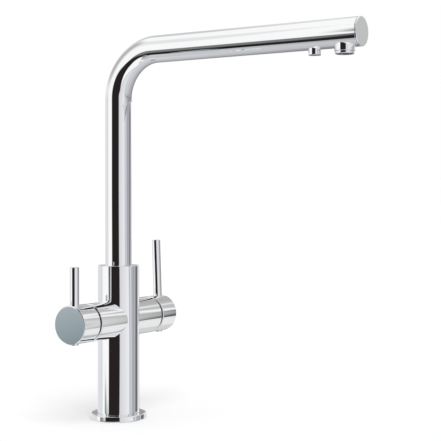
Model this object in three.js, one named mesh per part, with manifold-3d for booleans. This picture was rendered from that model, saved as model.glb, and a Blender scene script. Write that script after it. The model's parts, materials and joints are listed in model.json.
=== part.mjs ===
// Three way filtered water tap: one tall swivel spout with two separate waterways, a single lever
// hot and cold mixer on one side and a quarter turn filtered water valve on the other.
//
// Millimetres, +Z up. The origin is on the column's axis at the underside of the base, where the tap
// meets the worktop. The spout reaches towards -Y, the user. The filtered water handle is on -X and
// the mixer handle on +X.

import * as THREE from 'three';
import { mergeVertices } from 'three/addons/utils/BufferGeometryUtils.js';
import Module from 'manifold-3d';

const wasm = await Module();
wasm.setup();

// ---------------------------------------------------------------------------------------------
// Driving dimensions
// ---------------------------------------------------------------------------------------------

const CLEARANCE = 0.3; // between pieces that touch or run in each other
const OVERRUN = 1; // how far a cutter runs past the face it opens, or a body into the one it joins

// Column and base
const COLUMN_D = 39;
const COLUMN_H = 144;
const COLUMN_LIP = 0.8; // chamfer round the column's top
const FLANGE_WIDTH = 6.5; // how far the flange stands out round the column
const FLANGE_H = 5.3;
const FLANGE_EDGE = 0.9;
const SEAL_SECTION = 2.4; // width of the square sealing ring under the flange
const SEAL_HEIGHT = 1.4;
const SEAL_EDGE_DISTANCE = 2; // from the flange's rim to the sealing ring's groove

// Water ports and passages in the base
const PORT_OFFSET = 8.5; // from the column's axis to each port along X and along Y
const PORT_D = 9; // core of the M10 x 1 hose thread
const PORT_DEPTH = 14;
const PASSAGE_D = 6;
const CROSS_PASSAGE_D = 3.8;

// Worktop fixing
const WORKTOP_THICKNESS = 20;
const WORKTOP_HOLE_D = 35;
const STUD_D = 8;
const STUD_LENGTH = 60;
const STUD_ENGAGEMENT = 14;
const HORSESHOE_WIDTH = 8; // how far the horseshoe bears outside the worktop's hole
const SLOT_CORNER_R = 6;
const STUD_EDGE_DISTANCE = 3; // from the stud to the horseshoe's slot
const GASKET_THICKNESS = 2.5;
const WASHER_THICKNESS = 3;
const NUT_ACROSS_FLATS = 13;
const NUT_HEIGHT = 6.5;

// Side housings and handle caps. HOUSING_END and SEAT are measured from the column's axis.
const HANDLE_DROP = 50.5; // from the column's top to the valves' axis
const HUB_D = 35;
const HUB_EDGE = 1; // chamfer on each end of a housing or cap
const HOUSING_END = 47;
const HUB_GAP = 2; // between a housing and its cap
const CAP_LENGTH = 23;
const CAP_WALL = 2;
const CAP_HOLLOW = 9;
const LEVER_D = 8.5;
const LEVER_EDGE = 0.6;
const LEVER_INSET = 7; // from a cap's outer face to its lever's axis
const FILTER_LEVER_RISE = 51.5; // a lever's top over the valves' axis
const MIXER_LEVER_RISE = 72.5;
const MIXER_LEAN = 2; // degrees, how far back the mixer lever stands from upright
const LEVER_SEAT = 6; // height of a lever's foot over the valve's axis
const GRUB_D = 5;
const PLUG_D = 7.6;
const PLUG_PROUD = 1; // how far the plug under a cap stands out
const PLUG_DEPTH = 2.5;

// Valve bores in the housings
const SEAT = 13; // flat seat of both valves
const VALVE_BORE_D = 26.4;
const SHOULDER_DEPTH = 9; // from a housing's end to the step where the nut's wider thread ends
const NUT_STEP = 1.3; // how much wider the nut's bore is, on each side
const VALVE_FLANGE_H = 2.7;
const FACE_SEAL_THICKNESS = 0.7;
const DISC_THICKNESS = 2.5;
const STEM_D = 7;
const STEM_SQUARE = 6; // across the flats where the cap goes on
const STEM_SQUARE_SPARE = 6; // how far the square shows inside the cap's hollow
const STEM_END_DEPTH = 6; // from the cap's outer face to the stem's end

// Mixer cartridge
const CARTRIDGE_BASE = 2;
const CARTRIDGE_BORE_D = 20;
const CARTRIDGE_RIM = 0.6; // of the cartridge's flange, round the turret's lug
const COLLAR_H = 1.8; // the turret's collar, held in by the nut
const COLLAR_LUG = 1.3; // how far the lug that stops the turret stands out from its collar
const COLLAR_LUG_ANGLE = 24; // degrees
const TEMPERATURE_TURN = 90; // degrees, from hot to cold
const MOVING_DISC_D = 16.2;
const CARRIER_H = 3.6;
const BALL_D = 4.6;
const PIVOT_RISE = 3.4; // from the turret's foot to the stem's cross pin
const TILT = 18; // degrees
const PIN_D = 2.5;
const MIXER_PORT_D = 3.6;
const SUPPLY_PORT_Y = 4.8; // hot and cold ports on the discs
const SUPPLY_PORT_UP = 3.2;
const MIXED_PORT_DOWN = 2.8;

// Filtered water valve
const SLEEVE_D = 21;
const SLEEVE_WALL = 2.2;
const SLEEVE_LENGTH = 15.7; // up to where the sleeve widens to fill the housing
const DRIVER_H = 10.2;
const DRIVER_SLOT = 6;
const DRIVER_SLOT_DEPTH = 6.8;
const SPINDLE_D = 10;
const SPINDLE_TAPER = 1;
const DISC_OPENING = 70; // degrees, each of a disc's two openings
const DISC_WEB = 2; // between an opening and the disc's rim
const WINDOW_W = 8;
const WINDOW_L = 6;
const STOP_WALL = 3.2; // how far the stop wall and the spindle's lug stand out round the bore
const STOP_H = 2.4;
const QUARTER_TURN = 90; // degrees
const LUG_ANGLE = 30; // degrees

// Spout socket in the column, measured down from the column's top
const SOCKET_EASE = 0.8; // between the spout's tube and its socket
const SOCKET_DEPTH = 34;
const THRUST_H = 1.7;
const THRUST_W = 3;
const GLIDE_LEDGE = 2.2; // how much wider the glide ring's seat is than the socket
const GLIDE_H = 2.7;
const SPIGOT_BORE_D = 10;
const SPIGOT_BORE_DEPTH = 30;
const STOP_SCREW_DROP = 11;
const STOP_SCREW_D = 5;
const STOP_SCREW_SUNK = 1; // its head under the column's surface
const STOP_TIP_D = 4;
const STOP_GROOVE_DEPTH = 2.5;
const SWIVEL = 180; // degrees, side to side

// Spout
const TUBE_D = 25;
const TUBE_WALL = 1.5;
const TUBE_SEAT_DEPTH = 6; // how far the tube reaches into the column
const SPOUT_RISE = 200.5; // from the column's top to the arm's centreline
const BEND_R = 44.5; // centreline
const END_OVERHANG = 16; // how far the arm runs on past the main outlet's axis
const END_PLATE = 1.2;
const SPIGOT_EDGE = 1; // chamfer that leads the end cap's spigot in
const END_SPIGOT_GAP = 0.75; // between the end cap's spigot and the main outlet's boss
const BUSH_SPIGOT = 14;
const BUSH_HOLES = 4;
const BUSH_HOLE_D = 4.6;
const BUSH_HOLE_R = 7.4;
const RING_SECTION = 2.2; // O-ring section on the spout bush
const FIRST_RING_RISE = 4.7;
const RING_SPACING = 8;
const FILTER_TUBE_D = 8;
const FILTER_TUBE_WALL = 1;
const FILTER_TUBE_RISE = 5; // the inner tube lies this far above the arm's centreline
const FILTER_TUBE_DROP_R = 9;
const BARB_L = 8; // on the spigot
const BARB_BORE_D = 3.4;
const SPIGOT_DEPTH = 1; // from the socket's floor to the spigot's shoulder
const SPIGOT_LENGTH = 14;
const SMALL_RING_SECTION = 1.7;

// Outlets under the arm, with their heights measured down from its centreline
const MAIN_OUTLET_REACH = 235.5;
const MAIN_OUTLET_D = 17.5;
const MAIN_BOSS_DROP = 15.5;
const MAIN_BOSS_H = 9;
const MAIN_BOSS_WALL = 1.55;
const AERATOR_PROUD = 2.3; // how far the aerator's housing stands out under its boss
const AERATOR_SETBACK = 0.55; // how much narrower than the boss it is, on each side
const AERATOR_H = 7.3;
const AERATOR_WALL = 0.7;
const AERATOR_RECESS = 0.9; // the insert sits this far up inside its housing
const AERATOR_GASKET_H = 1.2;
const AERATOR_GASKET_WIDTH = 2.4;
const AERATOR_NOZZLES = 8;
const NOZZLE_D = 1.3;
const NOZZLE_PITCH = 0.62; // share of a nozzle plate's radius
const OUTLET_SPACING = 28;
const FILTER_OUTLET_D = 11;
const FILTER_OUTLET_DROP = 17;
const FILTER_BOSS_H = 9;
const FILTER_BOSS_WALL = 2.3;
const FILTER_BOSS_BORE_DEPTH = 4.5;
const FILTER_INSERT_H = 3.2;
const FILTER_NOZZLES = 5;

// Facets round a full turn
const FINE = 28; // large surfaces that show
const MEDIUM = 18;
const COARSE = 12;
const SMALL = 8;
const TINY = 6; // also round an O-ring's section
const BEND_STEPS = 8;
const DROP_STEPS = 4; // the inner tube's bend down to its outlet
const CORNER_STEPS = 3;
const SECTOR_STEP = 15; // degrees

// ---------------------------------------------------------------------------------------------
// Sizes that follow from them
// ---------------------------------------------------------------------------------------------

const RAD = Math.PI / 180;
const columnR = COLUMN_D / 2;
const flangeR = columnR + FLANGE_WIDTH;
const gasketTop = -WORKTOP_THICKNESS;
const washerTop = gasketTop - GASKET_THICKNESS;
const nutTop = washerTop - WASHER_THICKNESS;

// Heights on the column
const handleZ = COLUMN_H - HANDLE_DROP;
const socketFloor = COLUMN_H - SOCKET_DEPTH;
const spigotBoreFloor = socketFloor - SPIGOT_BORE_DEPTH;
const stopScrewZ = COLUMN_H - STOP_SCREW_DROP;
const tubeStart = COLUMN_H - TUBE_SEAT_DEPTH;
const armZ = COLUMN_H + SPOUT_RISE;

// Along a valve's axis, from the column's axis outwards
const hubR = HUB_D / 2;
const capStart = HOUSING_END + HUB_GAP;
const capHollowEnd = capStart + CAP_HOLLOW;
const capEnd = capStart + CAP_LENGTH;
const leverReach = capEnd - LEVER_INSET;
const stemSquareStart = capHollowEnd - STEM_SQUARE_SPARE;
const stemEnd = capEnd - STEM_END_DEPTH;
const shoulder = HOUSING_END - SHOULDER_DEPTH;
const valveFlangeStart = shoulder + CLEARANCE;
const valveFlangeEnd = valveFlangeStart + VALVE_FLANGE_H;
const valveNutStart = valveFlangeEnd + CLEARANCE;
const valveNutEnd = HOUSING_END - CLEARANCE;
const valveBoreR = VALVE_BORE_D / 2;
const nutBoreR = valveBoreR + NUT_STEP;

// Mixer cartridge
const cartridgeStart = SEAT + 2 * CLEARANCE + FACE_SEAL_THICKNESS;
const fixedDiscStart = cartridgeStart + CARTRIDGE_BASE + CLEARANCE;
const movingDiscStart = fixedDiscStart + DISC_THICKNESS + CLEARANCE;
const carrierStart = movingDiscStart + DISC_THICKNESS + CLEARANCE;
const ballCentre = carrierStart + BALL_D / 2;
const turretStart = carrierStart + CARRIER_H + CLEARANCE;
const tiltPivot = turretStart + PIVOT_RISE;
const collarStart = valveFlangeStart + 2 * CLEARANCE;
const lugRecessR = nutBoreR - CLEARANCE - CARTRIDGE_RIM;
const collarRecessR = lugRecessR - COLLAR_LUG;
const collarR = collarRecessR - CLEARANCE;

// Filtered water valve
const filterFixedDiscStart = cartridgeStart + CLEARANCE;
const filterMovingDiscStart = filterFixedDiscStart + DISC_THICKNESS + CLEARANCE;
const driverStart = filterMovingDiscStart + DISC_THICKNESS + CLEARANCE;
const driverEnd = driverStart + DRIVER_H;
const driverSlotEnd = driverStart + DRIVER_SLOT_DEPTH;
const sleeveR = SLEEVE_D / 2;
const sleeveBoreR = sleeveR - SLEEVE_WALL;
const filterDiscR = sleeveBoreR - CLEARANCE;
const spindleRingAt = (driverEnd + valveFlangeEnd) / 2;
const stopR = SPINDLE_D / 2 + CLEARANCE + STOP_WALL;
const outletDown = (sleeveR + valveBoreR) / 2; // the valve's outlet opens round its sleeve

// Spout
const tubeR = TUBE_D / 2;
const tubeBoreR = tubeR - TUBE_WALL;
const socketR = tubeR + SOCKET_EASE;
const glideSeatR = socketR + GLIDE_LEDGE;
const bushR = socketR - CLEARANCE;
const stopGrooveR = bushR - STOP_GROOVE_DEPTH;
const bendCentreZ = armZ - BEND_R;
const armReach = MAIN_OUTLET_REACH + END_OVERHANG;
const armTubeEnd = armReach - END_PLATE - CLEARANCE;
const bushStart = socketFloor + 2 * CLEARANCE + THRUST_H;
const bushEnd = tubeStart - CLEARANCE;
const bushRingHeights = [0, 1].map((i) => bushStart + FIRST_RING_RISE + i * RING_SPACING);
const spigotEnd = socketFloor - SPIGOT_DEPTH;
const spigotStart = spigotEnd - SPIGOT_LENGTH;
const spigotRingZ = (spigotStart + spigotEnd) / 2;

// Outlets and the inner tube
const mainBossBottom = armZ - MAIN_BOSS_DROP;
const mainBossBoreR = MAIN_OUTLET_D / 2 - MAIN_BOSS_WALL;
const aeratorBottom = mainBossBottom - AERATOR_PROUD;
const aeratorTop = aeratorBottom + AERATOR_H;
const aeratorBoreR = mainBossBoreR - CLEARANCE - AERATOR_WALL;
const filterOutletReach = MAIN_OUTLET_REACH - OUTLET_SPACING;
const filterOutletBottom = armZ - FILTER_OUTLET_DROP;
const filterBossTop = filterOutletBottom + FILTER_BOSS_H;
const filterBossBoreR = FILTER_OUTLET_D / 2 - FILTER_BOSS_WALL;
const filterTubeStart = spigotEnd + CLEARANCE;
const filterTubeEnd = filterBossTop + CLEARANCE;
const filterTubeBoreR = FILTER_TUBE_D / 2 - FILTER_TUBE_WALL;
const filterRunZ = armZ + FILTER_TUBE_RISE;
const outletBarbTop = filterRunZ - FILTER_TUBE_DROP_R; // where the inner tube's drop runs straight
const barbR = filterTubeBoreR - CLEARANCE;

// ---------------------------------------------------------------------------------------------
// Finishes
// ---------------------------------------------------------------------------------------------

const finish = (color, roughness, metalness) =>
  new THREE.MeshStandardMaterial({ color, roughness, metalness });

const chrome = finish(0xd9dcdf, 0.06, 1);
const brass = finish(0xb89150, 0.35, 1);
const steel = finish(0xa9adb0, 0.3, 1);
const stainless = finish(0xbfc2c4, 0.25, 1);
const ceramic = finish(0xe9e6df, 0.3, 0);
const rubber = finish(0x1c1c1e, 0.8, 0);
const whitePlastic = finish(0xe8e8e6, 0.5, 0);
const greyPlastic = finish(0x5c6064, 0.5, 0);
const blueTube = finish(0x4d86c9, 0.45, 0);

// ---------------------------------------------------------------------------------------------
// Solid helpers
// ---------------------------------------------------------------------------------------------

// A closed three.js geometry as a solid that can be joined and cut.
function asSolid(geometry) {
  const loose = geometry.index ? geometry.toNonIndexed() : geometry;
  const bare = new THREE.BufferGeometry().setAttribute('position', loose.getAttribute('position'));
  const merged = mergeVertices(bare, 1e-4);
  const corners = [];
  const { array } = merged.index;
  for (let i = 0; i < array.length; i += 3) {
    const [a, b, c] = array.slice(i, i + 3);
    if (a !== b && b !== c && c !== a) corners.push(a, b, c);
  }
  const vertProperties = merged.attributes.position.array;
  return new wasm.Manifold(
    new wasm.Mesh({ numProp: 3, vertProperties, triVerts: Uint32Array.from(corners) }),
  );
}

function asGeometry(solid) {
  const { vertProperties, triVerts, numProp } = solid.getMesh();
  const geometry = new THREE.BufferGeometry();
  const stored = new THREE.InterleavedBuffer(vertProperties, numProp);
  geometry.setAttribute('position', new THREE.InterleavedBufferAttribute(stored, 3, 0));
  geometry.setIndex(new THREE.BufferAttribute(triVerts, 1));
  const flat = geometry.toNonIndexed();
  flat.computeVertexNormals();
  return flat;
}

function join(...bodies) {
  return asGeometry(bodies.map(asSolid).reduce((sum, solid) => sum.add(solid)));
}

function cut(body, ...tools) {
  return asGeometry(tools.map(asSolid).reduce((rest, tool) => rest.subtract(tool), asSolid(body)));
}

// A body turned about Z from a closed outline of [radius, height] pairs.
function turned(outline, sides = MEDIUM) {
  const points = outline.map(([r, z]) => new THREE.Vector2(r, z));
  if (outline[0][0] > 0) points.push(points[0].clone());
  if (THREE.ShapeUtils.area(points) < 0) points.reverse();
  return new THREE.LatheGeometry(points, sides).rotateX(Math.PI / 2);
}

// A ring or, with no hole, a plain cylinder between two heights.
function ring(holeR, outerR, z0, z1, sides = MEDIUM) {
  return turned([[holeR, z0], [outerR, z0], [outerR, z1], [holeR, z1]], sides);
}

// A cylinder along Z with a chamfer at each end.
function chamferedRod(radius, z0, z1, edge, sides = MEDIUM) {
  return turned([
    [0, z0], [radius - edge, z0], [radius, z0 + edge],
    [radius, z1 - edge], [radius - edge, z1], [0, z1],
  ], sides);
}

// A straight bar of round section from one point to another, used mostly as a drill.
function bar(radius, from, to, sides = COARSE) {
  const a = new THREE.Vector3(...from);
  const b = new THREE.Vector3(...to);
  const turn = new THREE.Quaternion().setFromUnitVectors(
    new THREE.Vector3(0, 1, 0), b.clone().sub(a).normalize(),
  );
  return new THREE.CylinderGeometry(radius, radius, a.distanceTo(b), sides)
    .applyQuaternion(turn)
    .translate(...a.add(b).multiplyScalar(0.5).toArray());
}

// A box between two corners.
function block([x0, y0, z0], [x1, y1, z1]) {
  return new THREE.BoxGeometry(x1 - x0, y1 - y0, z1 - z0)
    .translate((x0 + x1) / 2, (y0 + y1) / 2, (z0 + z1) / 2);
}

// Part of a ring, between two angles in degrees from +X towards +Y.
function sector(innerR, outerR, fromAngle, toAngle, z0, z1) {
  const shape = new THREE.Shape();
  shape.absarc(0, 0, outerR, fromAngle * RAD, toAngle * RAD, false);
  shape.absarc(0, 0, innerR, toAngle * RAD, fromAngle * RAD, true);
  const curveSegments = Math.ceil((toAngle - fromAngle) / SECTOR_STEP);
  return new THREE.ExtrudeGeometry(shape, { depth: z1 - z0, bevelEnabled: false, curveSegments })
    .translate(0, 0, z0);
}

// An O-ring about Z.
function oRing(centreR, section, z, sides = MEDIUM) {
  const r = section / 2;
  const outline = Array.from({ length: TINY }, (_, i) => {
    const angle = ((i + 0.5) / TINY) * 2 * Math.PI;
    return [centreR + r * Math.cos(angle), z + r * Math.sin(angle)];
  });
  return turned(outline, sides);
}

// A path of given stations, so that a sweep puts its rings only where they are needed.
class StationPath extends THREE.Curve {
  constructor(stations) {
    super();
    this.stations = stations;
  }

  getUtoTmapping(u) {
    return u;
  }

  getPoint(t) {
    const place = t * (this.stations.length - 1);
    const i = Math.min(Math.floor(place), this.stations.length - 2);
    return this.stations[i].point.clone().lerp(this.stations[i + 1].point, place - i);
  }

  getTangent(t) {
    return this.stations[Math.round(t * (this.stations.length - 1))].tangent.clone();
  }
}

// Stations of a run in the spout's plane: straight up, a bend towards -Y, and on at endZ.
function spoutStations(startZ, endZ, endReach) {
  const radius = endZ - bendCentreZ;
  const station = (y, z, ty, tz) => ({
    point: new THREE.Vector3(0, y, z),
    tangent: new THREE.Vector3(0, ty, tz),
  });
  const stations = [station(0, startZ, 0, 1)];
  for (let i = 0; i <= BEND_STEPS; i++) {
    const angle = (i / BEND_STEPS) * Math.PI / 2;
    stations.push(station(
      -radius * (1 - Math.cos(angle)), bendCentreZ + radius * Math.sin(angle),
      -Math.sin(angle), Math.cos(angle),
    ));
  }
  stations.push(station(-endReach, endZ, -1, 0));
  return stations;
}

// A round rod swept along stations.
function sweptRod(radius, stations, sides) {
  const circle = Array.from({ length: sides }, (_, i) => {
    const angle = (i / sides) * 2 * Math.PI;
    return new THREE.Vector2(radius * Math.cos(angle), radius * Math.sin(angle));
  });
  return new THREE.ExtrudeGeometry(new THREE.Shape(circle), {
    steps: stations.length - 1,
    extrudePath: new StationPath(stations),
    bevelEnabled: false,
  });
}

// The same stations, drawn out by a millimetre at each end so that a bore cut along them is open.
function openEnds(stations) {
  const drawnOut = ({ point, tangent }, length) => ({
    point: point.clone().addScaledVector(tangent, length), tangent,
  });
  return [drawnOut(stations[0], -1), ...stations.slice(1, -1), drawnOut(stations.at(-1), 1)];
}

// ---------------------------------------------------------------------------------------------
// The scene's groups
// ---------------------------------------------------------------------------------------------

const tap = new THREE.Group();
const spout = new THREE.Group();

// In a valve's group +Z points outwards along the handle's axis and +X points up.
const filterSide = new THREE.Group();
filterSide.position.z = handleZ;
filterSide.rotation.set(0, -Math.PI / 2, 0);

const mixerSide = new THREE.Group();
mixerSide.position.z = handleZ;
mixerSide.rotation.set(0, -Math.PI / 2, Math.PI, 'ZYX');

// Everything that turns with the mixer lever.
const mixerTurning = new THREE.Group();
mixerTurning.rotation.z = -MIXER_LEAN * RAD;
mixerSide.add(mixerTurning);

tap.add(spout, filterSide, mixerSide);

function addPiece(group, name, geometry, material) {
  const mesh = new THREE.Mesh(geometry, material);
  mesh.name = name;
  group.add(mesh);
}

// ---------------------------------------------------------------------------------------------
// Body: column with two side housings, drilled for the waterways
// ---------------------------------------------------------------------------------------------

function columnBlank() {
  return turned([
    [0, 0], [columnR, 0],
    [columnR, COLUMN_H - COLUMN_LIP], [columnR - COLUMN_LIP, COLUMN_H], [0, COLUMN_H],
  ], FINE);
}

// The stepped bore from the column's top: glide ring, spout bush, and the inner tube's spigot.
function spoutSocket() {
  const glideSeat = COLUMN_H - GLIDE_H - CLEARANCE;
  return turned([
    [0, spigotBoreFloor], [SPIGOT_BORE_D / 2, spigotBoreFloor],
    [SPIGOT_BORE_D / 2, socketFloor], [socketR, socketFloor], [socketR, glideSeat],
    [glideSeatR, glideSeat], [glideSeatR, COLUMN_H + OVERRUN], [0, COLUMN_H + OVERRUN],
  ]);
}

function housingBlank() {
  return chamferedRod(hubR, -HOUSING_END, HOUSING_END, HUB_EDGE, FINE)
    .rotateY(Math.PI / 2)
    .translate(0, 0, handleZ);
}

// The stepped bore that takes a valve and its nut, on the side of the given sign.
function valveBore(side) {
  return turned([
    [0, SEAT], [valveBoreR, SEAT], [valveBoreR, shoulder],
    [nutBoreR, shoulder], [nutBoreR, HOUSING_END + OVERRUN], [0, HOUSING_END + OVERRUN],
  ])
    .rotateY(side * Math.PI / 2)
    .translate(0, 0, handleZ);
}

// Hot and cold: up from the base, then across to the mixer's seat.
function supplyDrills(ySign) {
  const portZ = handleZ + SUPPLY_PORT_UP;
  const x = PORT_OFFSET;
  const y = ySign * PORT_OFFSET;
  const seatY = ySign * SUPPLY_PORT_Y;
  return [
    bar(PORT_D / 2, [x, y, -OVERRUN], [x, y, PORT_DEPTH]),
    bar(PASSAGE_D / 2, [x, y, PORT_DEPTH - OVERRUN], [x, y, portZ + CROSS_PASSAGE_D / 2], SMALL),
    bar(MIXER_PORT_D / 2, [x, seatY, portZ], [SEAT + OVERRUN, seatY, portZ], SMALL),
  ];
}

// Mixed water: from the mixer's seat up into the spout's socket.
function mixedDrills() {
  const portZ = handleZ - MIXED_PORT_DOWN;
  const x = SEAT - CROSS_PASSAGE_D;
  const r = CROSS_PASSAGE_D / 2;
  return [
    bar(MIXER_PORT_D / 2, [x - r, 0, portZ], [SEAT + OVERRUN, 0, portZ], SMALL),
    bar(r, [x, 0, portZ], [x, 0, socketFloor + OVERRUN], SMALL),
  ];
}

// Filtered water: up from the base to the middle of its seat, and from the seat to the spigot's bore.
function filteredDrills() {
  const x = -PORT_OFFSET;
  const y = -PORT_OFFSET;
  const r = CROSS_PASSAGE_D / 2;
  const outletZ = handleZ - outletDown;
  return [
    bar(PORT_D / 2, [x, y, -OVERRUN], [x, y, PORT_DEPTH]),
    bar(PASSAGE_D / 2, [x, y, PORT_DEPTH - OVERRUN], [x, y, handleZ + r], SMALL),
    bar(r, [x, y - r, handleZ], [x, r, handleZ], SMALL),
    bar(r, [x, 0, handleZ], [-SEAT - OVERRUN, 0, handleZ], SMALL),
    bar(r, [-OVERRUN, 0, outletZ], [-SEAT - OVERRUN, 0, outletZ], SMALL),
  ];
}

function bodyCasting() {
  const studHole = bar(
    STUD_D / 2 + CLEARANCE,
    [-PORT_OFFSET, PORT_OFFSET, -OVERRUN], [-PORT_OFFSET, PORT_OFFSET, STUD_ENGAGEMENT + OVERRUN],
  );
  const stopScrewHole = bar(
    STOP_SCREW_D / 2 + CLEARANCE,
    [0, socketR - OVERRUN, stopScrewZ], [0, columnR + OVERRUN, stopScrewZ],
  );
  return cut(
    join(columnBlank(), housingBlank()),
    spoutSocket(), valveBore(1), valveBore(-1),
    ...supplyDrills(1), ...supplyDrills(-1), ...mixedDrills(), ...filteredDrills(),
    studHole, stopScrewHole,
  );
}

addPiece(tap, 'body_casting', bodyCasting(), chrome);

// ---------------------------------------------------------------------------------------------
// Base flange, its seal and the worktop fixing
// ---------------------------------------------------------------------------------------------

const sealOuterR = flangeR - SEAL_EDGE_DISTANCE - CLEARANCE;
const sealInnerR = sealOuterR - SEAL_SECTION;

function baseFlange() {
  const holeR = columnR + CLEARANCE;
  const grooveTop = SEAL_HEIGHT + CLEARANCE;
  return turned([
    [holeR, 0], [sealInnerR - CLEARANCE, 0], [sealInnerR - CLEARANCE, grooveTop],
    [sealOuterR + CLEARANCE, grooveTop], [sealOuterR + CLEARANCE, 0],
    [flangeR - FLANGE_EDGE, 0], [flangeR, FLANGE_EDGE],
    [flangeR, FLANGE_H - FLANGE_EDGE], [flangeR - FLANGE_EDGE, FLANGE_H], [holeR, FLANGE_H],
  ], FINE);
}

addPiece(tap, 'base_flange', baseFlange(), chrome);
addPiece(tap, 'base_seal', ring(sealInnerR, sealOuterR, 0, SEAL_HEIGHT, FINE), rubber);

// A horseshoe that bears round the worktop's hole and lets the hoses through. Its open side faces
// away from the stud.
function horseshoe(z0, thickness) {
  const slotR = WORKTOP_HOLE_D / 2;
  const outerR = slotR + HORSESHOE_WIDTH;
  const studReach = PORT_OFFSET * Math.SQRT2;
  const slotEnd = studReach - STUD_D / 2 - STUD_EDGE_DISTANCE;
  const cornerX = slotEnd - SLOT_CORNER_R;
  const cornerY = slotR - SLOT_CORNER_R;
  const slot = new THREE.Shape();
  slot.moveTo(-outerR - OVERRUN, -slotR);
  slot.lineTo(cornerX, -slotR);
  slot.absarc(cornerX, -cornerY, SLOT_CORNER_R, -Math.PI / 2, 0, false);
  slot.absarc(cornerX, cornerY, SLOT_CORNER_R, 0, Math.PI / 2, false);
  slot.lineTo(-outerR - OVERRUN, slotR);
  const slotTool = new THREE.ExtrudeGeometry(slot, {
    depth: thickness + 2 * OVERRUN, bevelEnabled: false, curveSegments: CORNER_STEPS,
  }).translate(0, 0, z0 - OVERRUN);
  const plate = ring(0, outerR, z0, z0 + thickness, FINE);
  const studHole = bar(
    STUD_D / 2 + CLEARANCE, [studReach, 0, z0 - OVERRUN], [studReach, 0, z0 + thickness + OVERRUN],
  );
  return cut(plate, slotTool, studHole).rotateZ(Math.PI * 3 / 4);
}

function hexNut(z0, height, acrossFlats, threadD) {
  const hexagon = ring(0, acrossFlats / Math.sqrt(3), z0, z0 + height, 6);
  const threadHole = bar(
    threadD / 2 + CLEARANCE, [0, 0, z0 - OVERRUN], [0, 0, z0 + height + OVERRUN],
  );
  return cut(hexagon, threadHole);
}

const studBottom = STUD_ENGAGEMENT - STUD_LENGTH;
addPiece(
  tap, 'fixing_stud',
  chamferedRod(STUD_D / 2, studBottom, STUD_ENGAGEMENT, LEVER_EDGE, COARSE)
    .translate(-PORT_OFFSET, PORT_OFFSET, 0),
  steel,
);
addPiece(tap, 'fixing_gasket', horseshoe(washerTop, GASKET_THICKNESS), rubber);
addPiece(tap, 'fixing_washer', horseshoe(nutTop, WASHER_THICKNESS), steel);
addPiece(
  tap, 'fixing_nut',
  hexNut(nutTop - NUT_HEIGHT, NUT_HEIGHT, NUT_ACROSS_FLATS, STUD_D)
    .translate(-PORT_OFFSET, PORT_OFFSET, 0),
  brass,
);

// ---------------------------------------------------------------------------------------------
// What both valves share: the nut, the handle's cap, lever, grub screw and plug
// ---------------------------------------------------------------------------------------------

// How far the tilted stem reaches from the axis, at a distance along the axis from its cross pin.
function stemSweep(distance) {
  return distance * Math.tan(TILT * RAD) + STEM_D / 2 / Math.cos(TILT * RAD) + CLEARANCE;
}

function valveNut(holeR) {
  return ring(holeR, nutBoreR - CLEARANCE, valveNutStart, valveNutEnd);
}

// The cap is hollow at its open end, so that it can tilt over the housing's mouth.
function handleCap() {
  const blank = turned([
    [0, capHollowEnd], [hubR - CAP_WALL, capHollowEnd], [hubR - CAP_WALL, capStart],
    [hubR - HUB_EDGE, capStart], [hubR, capStart + HUB_EDGE],
    [hubR, capEnd - HUB_EDGE], [hubR - HUB_EDGE, capEnd], [0, capEnd],
  ], FINE);
  const half = STEM_SQUARE / 2 + CLEARANCE;
  const socket = block([-half, -half, capHollowEnd - OVERRUN], [half, half, stemEnd + CLEARANCE]);
  const leverHole = bar(
    LEVER_D / 2 + CLEARANCE,
    [LEVER_SEAT - CLEARANCE, 0, leverReach], [hubR + OVERRUN, 0, leverReach],
  );
  const grubHole = bar(
    GRUB_D / 2 + CLEARANCE,
    [-half + OVERRUN, 0, leverReach], [-hubR - OVERRUN, 0, leverReach],
  );
  const plugHole = bar(
    PLUG_D / 2 + CLEARANCE,
    [-hubR + PLUG_DEPTH, 0, leverReach], [-hubR - OVERRUN, 0, leverReach],
  );
  return cut(blank, socket, leverHole, grubHole, plugHole);
}

function handleLever(rise) {
  return chamferedRod(LEVER_D / 2, LEVER_SEAT, rise, LEVER_EDGE)
    .rotateY(Math.PI / 2)
    .translate(0, 0, leverReach);
}

// Holds the cap on the stem's flat.
function grubScrew() {
  const tip = STEM_SQUARE / 2 + CLEARANCE;
  return chamferedRod(GRUB_D / 2, tip, hubR - PLUG_DEPTH - 2 * CLEARANCE, LEVER_EDGE, COARSE)
    .rotateY(-Math.PI / 2)
    .translate(0, 0, leverReach);
}

// Closes the grub screw's hole under the cap.
function screwPlug() {
  return turned([
    [0, hubR - PLUG_DEPTH + CLEARANCE], [PLUG_D / 2, hubR - PLUG_DEPTH + CLEARANCE],
    [PLUG_D / 2, hubR + PLUG_PROUD / 2], [PLUG_D / 2 - PLUG_PROUD / 2, hubR + PLUG_PROUD],
    [0, hubR + PLUG_PROUD],
  ], COARSE)
    .rotateY(-Math.PI / 2)
    .translate(0, 0, leverReach);
}

function squareEnd() {
  const half = STEM_SQUARE / 2;
  return block([-half, -half, stemSquareStart], [half, half, stemEnd]);
}

function addHandle(group, side, leverRise) {
  addPiece(group, `${side}_cap`, handleCap(), chrome);
  addPiece(group, `${side}_lever`, handleLever(leverRise), chrome);
  addPiece(group, `${side}_grub_screw`, grubScrew(), stainless);
  addPiece(group, `${side}_screw_plug`, screwPlug(), chrome);
}

const mixerNutHoleR = stemSweep(valveNutEnd - tiltPivot) + CLEARANCE;
addPiece(filterSide, 'filter_valve_nut', valveNut(stopR + CLEARANCE), brass);
addPiece(mixerSide, 'mixer_valve_nut', valveNut(mixerNutHoleR), brass);
addHandle(filterSide, 'filter', FILTER_LEVER_RISE);
addHandle(mixerTurning, 'mixer', MIXER_LEVER_RISE);

// ---------------------------------------------------------------------------------------------
// Mixer cartridge
// ---------------------------------------------------------------------------------------------

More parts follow.
